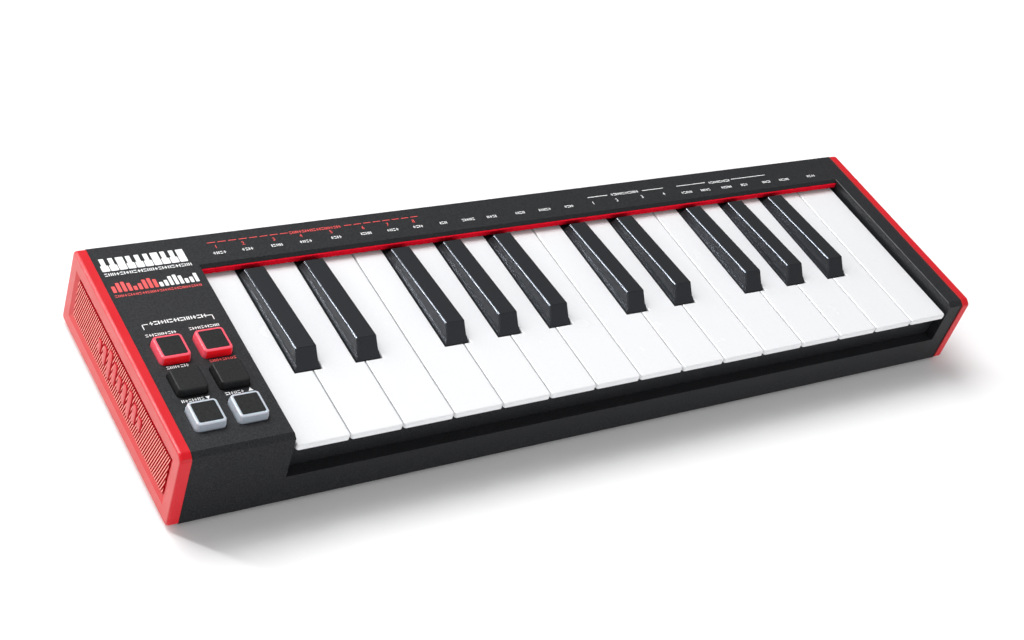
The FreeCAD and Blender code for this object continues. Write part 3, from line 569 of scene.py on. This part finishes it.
class PaintBox:
    """Makes each finish's material once and hands it out."""

    def __init__(self) -> None:
        """Start with no materials made."""
        self._made: dict[Finish, bpy.types.Material] = {}

    def get(self, finish: Finish) -> bpy.types.Material:
        """The finish's material, made on first use.

        Args:
            finish: Which finish.

        Returns:
            Its material.
        """
        if finish not in self._made:
            self._made[finish] = finish.value.material()
        return self._made[finish]

    def paint(self, piece: bpy.types.Object, finish: Finish) -> None:
        """Give a piece one finish all over.

        Args:
            piece: The mesh object.
            finish: Which finish.
        """
        material = self.get(finish)
        if piece.data.materials:
            for index in range(len(piece.data.materials)):
                piece.data.materials[index] = material
        else:
            piece.data.materials.append(material)

    def dress_frame(self) -> int:
        """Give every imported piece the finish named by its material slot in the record.

        Returns:
            How many pieces were dressed.
        """
        by_slot = {finish.value.name: finish for finish in Finish}
        for part in frame["record"]["subparts"]:
            self.paint(frame["nodes"][part["node"]], by_slot[part["material_slot"]])
        return len(frame["record"]["subparts"])


# ---------------------------------------------------------------- modelling helpers
def deselect() -> None:
    """Leave edit mode and select nothing."""
    if bpy.context.mode != "OBJECT":
        bpy.ops.object.mode_set(mode="OBJECT")
    bpy.ops.object.select_all(action="DESELECT")


def activate(piece: bpy.types.Object) -> None:
    """Select one object alone and make it active.

    Args:
        piece: The object.
    """
    deselect()
    piece.select_set(True)
    bpy.context.view_layer.objects.active = piece


def block(name: str, low: Sequence[float], high: Sequence[float]) -> bpy.types.Object:
    """Add a block at its size and place, in millimetres, with its object at the origin.

    Args:
        name: The new object's name.
        low: Its lowest corner.
        high: Its highest corner.

    Returns:
        The new object, active.
    """
    deselect()
    middle = [(a + b) / 2 * MM for a, b in zip(low, high)]
    sides = [(b - a) * MM for a, b in zip(low, high)]
    bpy.ops.mesh.primitive_cube_add(size=1.0, location=middle)
    piece = bpy.context.object
    piece.name = piece.data.name = name
    piece.scale = sides
    bpy.ops.object.transform_apply(location=True, rotation=True, scale=True)
    return piece


class MeshPart(Enum):
    """What can be picked out of a mesh."""

    FACE = "FACE"
    EDGE = "EDGE"


def at(axis: str, place: float) -> Callable[[Vector], bool]:
    """A rule that holds for what lies at one place along an axis, in millimetres."""
    return lambda middle: abs(getattr(middle, axis) - place) < CLOSE


def select_parts(piece: bpy.types.Object, kind: MeshPart, rule: Callable[[Vector], bool]) -> None:
    """Enter edit mode with the faces or edges selected whose middles meet a rule.

    Args:
        piece: The mesh object.
        kind: Whether faces or edges are picked.
        rule: Takes a part's middle in millimetres and says whether it is wanted.
    """
    activate(piece)
    mesh = piece.data
    for group in (mesh.polygons, mesh.edges, mesh.vertices):
        group.foreach_set("select", [False] * len(group))
    if kind is MeshPart.FACE:
        for face in mesh.polygons:
            face.select = rule(face.center / MM)
    else:
        for edge in mesh.edges:
            first, second = (mesh.vertices[index].co for index in edge.vertices)
            edge.select = rule((first + second) / 2 / MM)
    bpy.ops.object.mode_set(mode="EDIT")
    bpy.ops.mesh.select_mode(type=kind.value)


def smooth(piece: bpy.types.Object, angle: float) -> None:
    """Shade a piece smooth but for edges sharper than an angle in degrees."""
    activate(piece)
    bpy.ops.object.shade_smooth_by_angle(angle=math.radians(angle))


def join(pieces: Iterable[bpy.types.Object], name: str) -> bpy.types.Object:
    """Join several mesh objects into one.

    Args:
        pieces: The objects.
        name: The joined object's name.

    Returns:
        The joined object.
    """
    pieces = list(pieces)
    deselect()
    for piece in pieces:
        piece.select_set(True)
    bpy.context.view_layer.objects.active = pieces[0]
    bpy.ops.object.join()
    whole = bpy.context.object
    whole.name = whole.data.name = name
    return whole


def rounded_plate(name: str, low: Sequence[float], high: Sequence[float],
                  corner: float) -> bpy.types.Object:
    """A thin plate with rounded upright corners, in millimetres.

    Args:
        name: The new object's name.
        low: Its lowest corner.
        high: Its highest corner.
        corner: Radius of the four upright corners.

    Returns:
        The new object.
    """
    plate = block(name, low, high)
    select_parts(plate, MeshPart.EDGE, at("z", (low[2] + high[2]) / 2))
    bpy.ops.mesh.bevel(offset=corner * MM, segments=3, affect="EDGES")
    bpy.ops.object.mode_set(mode="OBJECT")
    return plate


def finish_piece(piece: bpy.types.Object, body: str) -> None:
    """Let a piece ride on its body, and log it.

    Args:
        piece: The finished object.
        body: The CAD body it moves with.
    """
    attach(piece, body)
    LOG.info("made %s: %d faces, rides on %s", piece.name, len(piece.data.polygons), body)


# ---------------------------------------------------------------- printing on the case
class Ink(Enum):
    """The two inks on the panel."""

    WHITE = "white"
    RED = "red"


class Sign(Enum):
    """The small plain signs that stand in for captions."""

    UPRIGHTS = 0
    CROSS = 1
    POST = 2
    LEVELS = 3


SIGN_ORDER = (Sign.UPRIGHTS, Sign.CROSS, Sign.LEVELS, Sign.POST, Sign.CROSS, Sign.UPRIGHTS,
              Sign.LEVELS, Sign.CROSS, Sign.POST, Sign.LEVELS, Sign.UPRIGHTS)

# Captions on the panel, in millimetres: ink, ends along X, front and rear sides.
PICTOGRAM_CAPTION = (Ink.WHITE, (-164.2, -134.7), (33.4, 34.7))
METER_CAPTION = (Ink.RED, (-164.4, -134.4), (23.4, 24.4))
BRACKET_CAPTION = (Ink.WHITE, (-158.2, -139.3), (9.2, 10.7))
BUTTON_CAPTIONS = (
    (Ink.WHITE, (-161.4, -151.2), (4.4, 5.5)),
    (Ink.WHITE, (-146.6, -136.7), (4.6, 5.7)),
    (Ink.WHITE, (-160.1, -152.8), (-10.3, -9.2)),
    (Ink.RED, (-145.7, -137.2), (-10.3, -9.3)),
    (Ink.WHITE, (-160.9, -154.0), (-24.8, -23.7)),
    (Ink.WHITE, (-146.4, -139.9), (-24.8, -23.7)),
)

TRIANGLES_Y = -24.2
TRIANGLES = ((-152.3, False), (-137.9, True))      # middle along X, and whether it points to the rear

# The rear strip's captions that run from one end to another.
RED_SCALE_CAPTION = (Ink.RED, (-94.2, -74.3), (42.1, 43.3))
WHITE_SCALE_CAPTIONS = ((Ink.WHITE, (44.7, 58.5), (40.5, 41.7)), (Ink.WHITE, (94.2, 104.7), (40.1, 41.3)))

# The rear strip's other marks, by their middles along X: numerals, then captions with half lengths.
RED_NUMERALS = (-122.6, -112.6, -101.0, -90.6, -78.8, -66.0, -55.9, -45.2)
WHITE_NUMERALS = (34.2, 45.6, 58.1, 69.0)
SCALE_CAPTIONS = tuple((x, 2.2) for x in (-122.6, -112.0, -101.0, -90.2, -78.0, -66.0, -55.4, -44.6))
MIDDLE_CAPTIONS = ((-34.1, 1.2), (-23.2, 2.6), (-12.7, 2.2), (-0.2, 2.0), (11.3, 2.7), (22.7, 2.2))
RIGHT_CAPTIONS = ((79.9, 2.4), (89.8, 2.2), (100.7, 2.4), (110.9, 2.0), (122.7, 2.1), (132.3, 2.6),
                  (147.9, 2.3))
WHITE_RULES = ((33.5, 43.0), (60.2, 70.8), (77.6, 92.5), (106.4, 124.9))

# Where the strip's marks stand along Y.
RED_RULE_Y, RED_NUMERALS_Y = 42.7, 39.9
WHITE_RULE_Y, WHITE_NUMERALS_Y = 41.0, 37.1
SCALE_CAPTIONS_Y, MIDDLE_CAPTIONS_Y, RIGHT_CAPTIONS_Y = (37.0, 38.2), (37.2, 38.4), (36.4, 37.6)


@dataclass(frozen=True)
class KeyPictogram:
    """A short row of piano keys as a sign, with its sizes in millimetres."""

    count: int = 10
    left: float = -164.3
    pitch: float = 3.0
    width: float = 2.7
    front: Span = (35.6, 38.4)
    back: Span = (38.2, 41.6)
    notch: float = 0.55
    gap: float = 0.1
    octave: int = 7
    without_notch: tuple[int, int] = (2, 6)
    front_corner: float = 0.35
    back_corner: float = 0.2
    notch_corner: float = 0.15

    def notched(self, index: int) -> bool:
        """Whether a key is narrowed at the back for the black keys beside it."""
        return index < self.count - 1 and index % self.octave not in self.without_notch


@dataclass(frozen=True)
class LevelMeter:
    """A row of bars that rise and fall like a level display, with its sizes in millimetres."""

    count: int = 17
    reds: int = 9
    left: float = -164.2
    pitch: float = 1.78
    width: float = 1.2
    foot: float = 25.6
    least: float = 1.4
    swing: float = 3.2
    wave: float = 0.62
    phase: float = 0.5
    corner: float = 0.25

    def height(self, index: int) -> float:
        """How tall a bar stands."""
        return self.least + self.swing * abs(math.sin(index * self.wave + self.phase))


@dataclass
class PanelPrint:
    """Lines, numerals, triangles and plain marks printed on the top panel, in millimetres."""

    paint: PaintBox
    ink_height: float = 0.05
    sunk: float = 0.03
    line: float = 0.28
    line_corner: float = 0.1
    sign_gap: float = 0.3
    sign_stroke: float = 0.24
    sign_width: float = 0.78
    post_width: float = 0.3
    sign_corner: float = 0.05
    numeral_size: float = 2.24
    triangle_radius: float = 0.9
    pictogram: KeyPictogram = KeyPictogram()
    meter: LevelMeter = LevelMeter()
    bracket_x: Span = (-160.9, -136.7)
    bracket_y: Span = (7.7, 10.0)
    bracket_hook: float = 2.1
    dash: float = 3.0
    dash_pitch: float = 3.9
    dash_count: int = 8
    dash_starts: Span = (-125.0, -72.6)
    marks: dict[Ink, list[bpy.types.Object]] = field(default_factory=lambda: {ink: [] for ink in Ink})

    def __post_init__(self) -> None:
        """Read the panel's height from the frame."""
        self.panel_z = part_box("case_left_panel")[1].z / MM

    def bar(self, ink: Ink, x: Span, y: Span, corner: float) -> None:
        """Print a rounded bar.

        Args:
            ink: Its colour.
            x: Its left and right ends.
            y: Its front and rear sides.
            corner: Radius of its corners.
        """
        low = (x[0], y[0], self.panel_z - self.sunk)
        high = (x[1], y[1], self.panel_z + self.ink_height)
        self.marks[ink].append(rounded_plate("mark", low, high, corner))

    def caption(self, ink: Ink, x: Span, y: Span) -> None:
        """Fill a line with small plain signs, as a stand-in for a caption.

        Args:
            ink: Its colour.
            x: Where the line starts and ends.
            y: Its front and rear sides.
        """
        height = y[1] - y[0]
        stroke = self.sign_stroke * height
        middle = (y[0] + y[1]) / 2
        wide, narrow = self.sign_width * height, self.post_width * height
        turn = len(self.marks[ink])
        start = x[0]
        while start < x[1] - narrow:
            sign = SIGN_ORDER[turn % len(SIGN_ORDER)]
            end = start + (narrow if sign is Sign.POST else wide)
            centre = (start + end) / 2
            if sign is Sign.UPRIGHTS:
                strokes = (((start, start + stroke), y), ((end - stroke, end), y))
            elif sign is Sign.LEVELS:
                strokes = (((start, end), (y[0], y[0] + stroke)), ((start, end), (y[1] - stroke, y[1])))
            elif sign is Sign.CROSS:
                strokes = (((start, end), (middle - stroke / 2, middle + stroke / 2)),
                           ((centre - stroke / 2, centre + stroke / 2), y))
            else:
                strokes = (((start, end), y),)
            for across, along in strokes:
                self.bar(ink, across, along, self.sign_corner)
            start = end + self.sign_gap
            turn += 1

    def captions(self, places: Iterable[Span], y: Span) -> None:
        """Print white captions at their middles and half lengths, all on one line."""
        for x, half in places:
            self.caption(Ink.WHITE, (x - half, x + half), y)

    def numeral(self, ink: Ink, digit: int, x: float, y: float) -> None:
        """Print a numeral.

        Args:
            ink: Its colour.
            digit: The number it shows.
            x: Its middle.
            y: Where it stands.
        """
        deselect()
        bpy.ops.object.text_add(location=(x * MM, y * MM, (self.panel_z - self.sunk) * MM))
        text = bpy.context.object
        text.data.body = str(digit)
        text.data.align_x = "CENTER"
        text.data.size = self.numeral_size * MM
        text.data.extrude = 0.5 * (self.ink_height + self.sunk) * MM
        text.data.resolution_u = 4
        bpy.ops.object.convert(target="MESH")
        text.location.z += 0.5 * (self.ink_height + self.sunk) * MM
        bpy.ops.object.transform_apply(location=True, rotation=True, scale=True)
        self.marks[ink].append(text)

    def triangle(self, ink: Ink, x: float, y: float, to_rear: bool) -> None:
        """Print a small triangle.

        Args:
            ink: Its colour.
            x: Its middle along X.
            y: Its middle along Y.
            to_rear: Whether it points to the rear or to the front.
        """
        deselect()
        bpy.ops.mesh.primitive_cylinder_add(
            vertices=3, radius=self.triangle_radius * MM, depth=(self.ink_height + self.sunk) * MM,
            location=(x * MM, y * MM, (self.panel_z + (self.ink_height - self.sunk) / 2) * MM),
            rotation=(0.0, 0.0, 0.0 if to_rear else math.pi))
        bpy.ops.object.transform_apply(location=True, rotation=True, scale=True)
        self.marks[ink].append(bpy.context.object)

    def badge(self) -> None:
        """A plain keyboard pictogram and a level meter, where a maker would sign the panel."""
        keys, meter = self.pictogram, self.meter
        for index in range(keys.count):
            left = keys.left + index * keys.pitch
            right = left + keys.width
            self.bar(Ink.WHITE, (left, right), keys.front, keys.front_corner)
            if keys.notched(index):
                self.bar(Ink.WHITE, (left + keys.notch, right - keys.notch), keys.back, keys.notch_corner)
            else:
                self.bar(Ink.WHITE, (left + keys.gap, right), keys.back, keys.back_corner)
        self.caption(*PICTOGRAM_CAPTION)
        for index in range(meter.count):
            left = meter.left + index * meter.pitch
            ink = Ink.RED if index < meter.reds else Ink.WHITE
            self.bar(ink, (left, left + meter.width), (meter.foot, meter.foot + meter.height(index)),
                     meter.corner)
        self.caption(*METER_CAPTION)

    def bracket(self) -> None:
        """The bracket that gathers the first row of buttons under one caption."""
        left, right = self.bracket_x
        top = (self.bracket_y[1] - self.line, self.bracket_y[1])
        self.bar(Ink.WHITE, (left, left + self.line), self.bracket_y, self.line_corner)
        self.bar(Ink.WHITE, (left, left + self.bracket_hook), top, self.line_corner)
        self.bar(Ink.WHITE, (right - self.line, right), self.bracket_y, self.line_corner)
        self.bar(Ink.WHITE, (right - self.bracket_hook, right), top, self.line_corner)
        self.caption(*BRACKET_CAPTION)

    def button_captions(self) -> None:
        """Short plain captions by the buttons, and triangles by the last pair."""
        for place in BUTTON_CAPTIONS:
            self.caption(*place)
        for x, to_rear in TRIANGLES:
            self.triangle(Ink.WHITE, x, TRIANGLES_Y, to_rear)

    def red_scale(self) -> None:
        """The dashed red scale with its eight numerals, at the left of the rear strip."""
        rule_y = (RED_RULE_Y, RED_RULE_Y + self.line)
        for first in self.dash_starts:
            for step in range(self.dash_count):
                start = first + self.dash_pitch * step
                self.bar(Ink.RED, (start, start + self.dash), rule_y, self.line_corner)
        self.caption(*RED_SCALE_CAPTION)
        for digit, x in enumerate(RED_NUMERALS, start=1):
            self.numeral(Ink.RED, digit, x, RED_NUMERALS_Y)
        self.captions(SCALE_CAPTIONS, SCALE_CAPTIONS_Y)

    def white_scale(self) -> None:
        """The captions in the middle of the rear strip, and the ruled scales at its right."""
        self.captions(MIDDLE_CAPTIONS, MIDDLE_CAPTIONS_Y)
        for rule in WHITE_RULES:
            self.bar(Ink.WHITE, rule, (WHITE_RULE_Y, WHITE_RULE_Y + self.line), self.line_corner)
        for place in WHITE_SCALE_CAPTIONS:
            self.caption(*place)
        for digit, x in enumerate(WHITE_NUMERALS, start=1):
            self.numeral(Ink.WHITE, digit, x, WHITE_NUMERALS_Y)
        self.captions(RIGHT_CAPTIONS, RIGHT_CAPTIONS_Y)

    def build(self) -> None:
        """Print everything and join each ink's marks into one piece."""
        self.badge()
        self.bracket()
        self.button_captions()
        self.red_scale()
        self.white_scale()
        for ink, finish in ((Ink.WHITE, Finish.WHITE_INK), (Ink.RED, Finish.RED_INK)):
            piece = join(self.marks[ink], f"panel_print_{ink.value}")
            self.paint.paint(piece, finish)
            finish_piece(piece, "case")


# ---------------------------------------------------------------- end caps
class Side(Enum):
    """The two ends of the keyboard, by their direction along X."""

    LEFT = -1
    RIGHT = 1


@dataclass
class EndCapPanel:
    """The slanted ribs and the raised level-bar motif in an end cap's sunken panel, in millimetres."""

    side: Side
    paint: PaintBox
    floor_depth: float = 1.0
    root: float = 0.05
    rib_length: float = 60.0
    rib_pitch: float = 1.05
    rib_foot: float = 1.02
    rib_crest: float = 0.4
    rib_height: float = 0.6
    # how squarely a rib face looks out of the cap to take the painted highlight
    crest_facing: float = 0.9
    slant: float = -18.0
    floor_y: Span = (-40.0, 40.4)
    floor_z: Span = (8.75, 24.45)
    motif_heights: tuple[float, ...] = (4.5, 7.5, 10.5, 8.0, 5.5, 8.5, 11.0, 7.0, 4.5)
    motif_pitch: float = 4.4
    motif_width: float = 2.4
    motif_rise: float = 0.92
    motif_corner: float = 0.9
    motif_edge: float = 0.15
    bed_margin: float = 1.0
    bed_above_ribs: float = 0.04
    bed_edge: float = 0.05
    sharp_angle: float = 30.0

    def __post_init__(self) -> None:
        """Find the panel's floor from the cap's outer face."""
        low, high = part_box(f"{self.side.name.lower()}_end_cap")
        outer = (high if self.side is Side.RIGHT else low).x / MM
        self.floor_x = outer - self.side.value * self.floor_depth

    def rib(self) -> bpy.types.Object:
        """One long slanted rib with sloped flanks, at the panel's middle.

        Returns:
            The rib.
        """
        middle_y = sum(self.floor_y) / 2
        middle_z = sum(self.floor_z) / 2
        top = self.floor_x + self.side.value * self.rib_height
        foot = self.floor_x - self.side.value * self.root
        half_y, half_z = self.rib_foot / 2, self.rib_length / 2
        piece = block("rib", (min(foot, top), middle_y - half_y, middle_z - half_z),
                      (max(foot, top), middle_y + half_y, middle_z + half_z))
        select_parts(piece, MeshPart.FACE, at("x", top))
        bpy.ops.transform.resize(value=(1.0, self.rib_crest / self.rib_foot, 1.0))
        bpy.ops.mesh.select_all(action="SELECT")
        centre = (self.floor_x * MM, middle_y * MM, middle_z * MM)
        bpy.ops.transform.rotate(value=math.radians(self.slant), orient_axis="X", center_override=centre)
        bpy.ops.object.mode_set(mode="OBJECT")
        return piece

    def trim(self, piece: bpy.types.Object) -> None:
        """Cut a piece back to the panel's floor.

        Args:
            piece: What sticks out past the floor's edges.
        """
        cuts = (((0, self.floor_y[0], 0), (0, -1, 0)), ((0, self.floor_y[1], 0), (0, 1, 0)),
                ((0, 0, self.floor_z[0]), (0, 0, -1)), ((0, 0, self.floor_z[1]), (0, 0, 1)))
        activate(piece)
        bpy.ops.object.mode_set(mode="EDIT")
        for point, away in cuts:
            bpy.ops.mesh.select_all(action="SELECT")
            bpy.ops.mesh.bisect(plane_co=[value * MM for value in point], plane_no=away, use_fill=True,
                                clear_outer=True)
        bpy.ops.object.mode_set(mode="OBJECT")

    def ribs(self) -> bpy.types.Object:
        """All the ribs, repeated along the panel and trimmed to it.

        Returns:
            The ribs as one piece, with a painted highlight on their crests and painted shade on their
            flanks.
        """
        piece = self.rib()
        step = self.rib_pitch / math.cos(math.radians(self.slant))
        reach = self.floor_y[1] - self.floor_y[0] + self.rib_length
        count = int(reach / step)
        array = piece.modifiers.new("repeat", "ARRAY")
        array.use_relative_offset = False
        array.use_constant_offset = True
        array.constant_offset_displace = (0.0, step * MM, 0.0)
        array.count = count
        bpy.ops.object.modifier_apply(modifier=array.name)
        piece.data.transform(Matrix.Translation((0.0, -(count - 1) / 2 * step * MM, 0.0)))
        self.trim(piece)
        self.paint.paint(piece, Finish.CAP_GROOVE)
        piece.data.materials.append(self.paint.get(Finish.CAP_CREST))
        # Faces that look out of the cap take the painted highlight, and the rest take painted shade.
        for face in piece.data.polygons:
            face.material_index = int(face.normal.x * self.side.value > self.crest_facing)
        return piece

    def bars(self, name: str, grow: float, rise: float, edge: float) -> bpy.types.Object:
        """A row of raised upright bars of different heights, centred on the panel.

        Args:
            name: The row's name.
            grow: How much wider and taller each bar is than the motif.
            rise: How far the bars stand up from the floor.
            edge: Rounding of their top edges.

        Returns:
            The joined row.
        """
        bars = []
        start = -(len(self.motif_heights) - 1) / 2 * self.motif_pitch
        middle_z = sum(self.floor_z) / 2
        top = self.floor_x + self.side.value * rise
        foot = self.floor_x - self.side.value * self.root
        for index, height in enumerate(self.motif_heights):
            y = start + index * self.motif_pitch
            half_y, half_z = (self.motif_width + grow) / 2, (height + grow) / 2
            bar = block("bar", (min(foot, top), y - half_y, middle_z - half_z),
                        (max(foot, top), y + half_y, middle_z + half_z))
            select_parts(bar, MeshPart.EDGE, at("x", (foot + top) / 2))
            bpy.ops.mesh.bevel(offset=self.motif_corner * MM, segments=4, affect="EDGES")
            select_parts(bar, MeshPart.FACE, at("x", top))
            bpy.ops.mesh.bevel(offset=edge * MM, segments=2, affect="EDGES")
            bars.append(bar)
        deselect()
        return join(bars, name)

    def motif(self) -> bpy.types.Object:
        """The bars of the motif, each on a bed that clears the ribs around it and carries the same painted
        shade as the rib flanks.

        Returns:
            The beds and bars as one piece.
        """
        bed = self.bars("bed", self.bed_margin, self.rib_height + self.bed_above_ribs, self.bed_edge)
        bars = self.bars("bars", 0.0, self.motif_rise, self.motif_edge)
        # The beds carry painted shade.
        self.paint.paint(bed, Finish.CAP_GROOVE)
        self.paint.paint(bars, Finish.CAP)
        return join((bed, bars), "motif")

    def build(self) -> None:
        """Make the ribs and the motif and let them ride on the case."""
        name = self.side.name.lower()
        ribs, motif = self.ribs(), self.motif()
        smooth(motif, self.sharp_angle)
        for piece, part in ((ribs, "ribs"), (motif, "motif")):
            piece.name = piece.data.name = f"{name}_cap_{part}"
            finish_piece(piece, "case")


# ---------------------------------------------------------------- felt
@dataclass
class FeltStrip:
    """The red felt along the front of the rear strip, with an uneven fuzzy face."""

    paint: PaintBox
    fuzz: float = 0.11
    cuts: int = 289
    sharp_angle: float = 80.0
    seed: int = 7

    def build(self) -> None:
        """Model the strip as a finely divided bar whose skin is roughened."""
        low, high = (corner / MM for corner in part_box("felt_strip"))
        inset = Vector((self.fuzz, self.fuzz, self.fuzz))
        piece = block("felt_strip_wool", low + inset, high - inset)
        activate(piece)
        bpy.ops.object.mode_set(mode="EDIT")
        for step in range(1, self.cuts + 1):
            bpy.ops.mesh.select_all(action="SELECT")
            bpy.ops.mesh.bisect(plane_co=((low.x + step) * MM, 0, 0), plane_no=(1, 0, 0))
        bpy.ops.mesh.select_all(action="SELECT")
        bpy.ops.mesh.subdivide(number_cuts=3)
        bpy.ops.transform.vertex_random(offset=self.fuzz * MM, uniform=0.0, normal=1.0, seed=self.seed)
        bpy.ops.object.mode_set(mode="OBJECT")
        smooth(piece, self.sharp_angle)
        self.paint.paint(piece, Finish.RED_FELT)
        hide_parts("felt_strip")
        finish_piece(piece, "case")


# ---------------------------------------------------------------- stage
@dataclass(frozen=True)
class StageCamera:
    """The camera, in metres, looking down on the keyboard from the left and front."""

    place: Point = (-0.3575, -0.3447, 0.4092)
    view: Point = (0.5419, 0.5533, -0.6326)
    up: Point = (0.1421, 0.6815, 0.7178)
    lens: float = 60.43
    sensor_width: float = 36.0
    clip: Span = (0.05, 50.0)

    def build(self) -> None:
        """Add the camera and make it the scene's."""
        data = bpy.data.cameras.new("camera")
        data.lens = self.lens
        data.sensor_width = self.sensor_width
        data.clip_start, data.clip_end = self.clip
        camera = bpy.data.objects.new("camera", data)
        bpy.context.scene.collection.objects.link(camera)
        back = -Vector(self.view).normalized()
        right = Vector(self.up).cross(back).normalized()
        turn = Matrix((right, back.cross(right), back)).transposed()
        camera.matrix_world = Matrix.Translation(self.place) @ turn.to_4x4()
        bpy.context.scene.camera = camera


@dataclass(frozen=True)
class SoftBox:
    """A large soft light, in metres: where it hangs, what it faces, and how strong it is."""

    name: str
    place: Point
    target: Point
    size: Span
    watts: float
    gloss_only: bool = False

    def build(self) -> None:
        """Add the light."""
        data = bpy.data.lights.new(self.name, "AREA")
        data.shape = "RECTANGLE"
        data.size, data.size_y = self.size
        data.energy = self.watts
        light = bpy.data.objects.new(self.name, data)
        light.location = self.place
        away = Vector(self.place) - Vector(self.target)
        light.rotation_euler = away.to_track_quat("Z", "Y").to_euler()
        light.visible_diffuse = not self.gloss_only
        bpy.context.scene.collection.objects.link(light)


@dataclass
class Studio:
    """A plain pale floor, an even surround and soft lights."""

    surround: float = 0.34
    floor_size: float = 12.0
    floor_colour: Colour = (0.93, 0.93, 0.935)
    floor_roughness: float = 0.9
    floor_specular: float = 0.1
    lights: tuple[SoftBox, ...] = (
        SoftBox("overhead", (-0.35, 0.75, 1.3), (0.0, 0.0, 0.0), (1.0, 0.8), 21.0),
        SoftBox("left_strip", (-0.95, 0.75, 0.8), (0.0, 0.0, 0.0), (0.1, 1.4), 9.0),
        SoftBox("edge_strip", (-0.95, 0.8, 0.82), (0.0, 0.0, 0.0), (0.1, 1.4), 20.0, gloss_only=True),
        SoftBox("left_wash", (-1.5, 0.0, 0.5), (-0.15, 0.0, 0.0), (1.0, 0.8), 3.0),
        SoftBox("front_fill", (0.3, -1.6, 0.5), (0.0, 0.0, 0.0), (2.0, 0.8), 12.0),
    )

    def floor(self) -> None:
        """Add the floor."""
        deselect()
        bpy.ops.mesh.primitive_plane_add(size=self.floor_size, location=(0, 0, 0))
        floor = bpy.context.object
        floor.name = "floor"
        graph = Graph("pale_floor")
        graph.set(Base_Color=self.floor_colour, Roughness=self.floor_roughness,
                  Specular_IOR_Level=self.floor_specular)
        floor.data.materials.append(graph.material)

    def build(self) -> None:
        """Add the surround, the floor, the lights and the camera."""
        world = bpy.data.worlds.new("surround")
        world.use_nodes = True
        background = world.node_tree.nodes["Background"]
        background.inputs["Color"].default_value = (1.0, 1.0, 1.0, 1.0)
        background.inputs["Strength"].default_value = self.surround
        bpy.context.scene.world = world
        bpy.context.scene.view_settings.view_transform = "Standard"
        self.floor()
        for light in self.lights:
            light.build()
        StageCamera().build()


def main() -> None:
    """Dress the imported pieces, model the fine ones, and set the stage."""
    logging.basicConfig(level=logging.INFO, format="%(name)s: %(message)s")
    paint = PaintBox()
    LOG.info("dressed %d packed pieces", paint.dress_frame())
    for side in Side:
        EndCapPanel(side, paint).build()
    FeltStrip(paint).build()
    PanelPrint(paint).build()
    Studio().build()


if __name__ == "__main__":
    main()
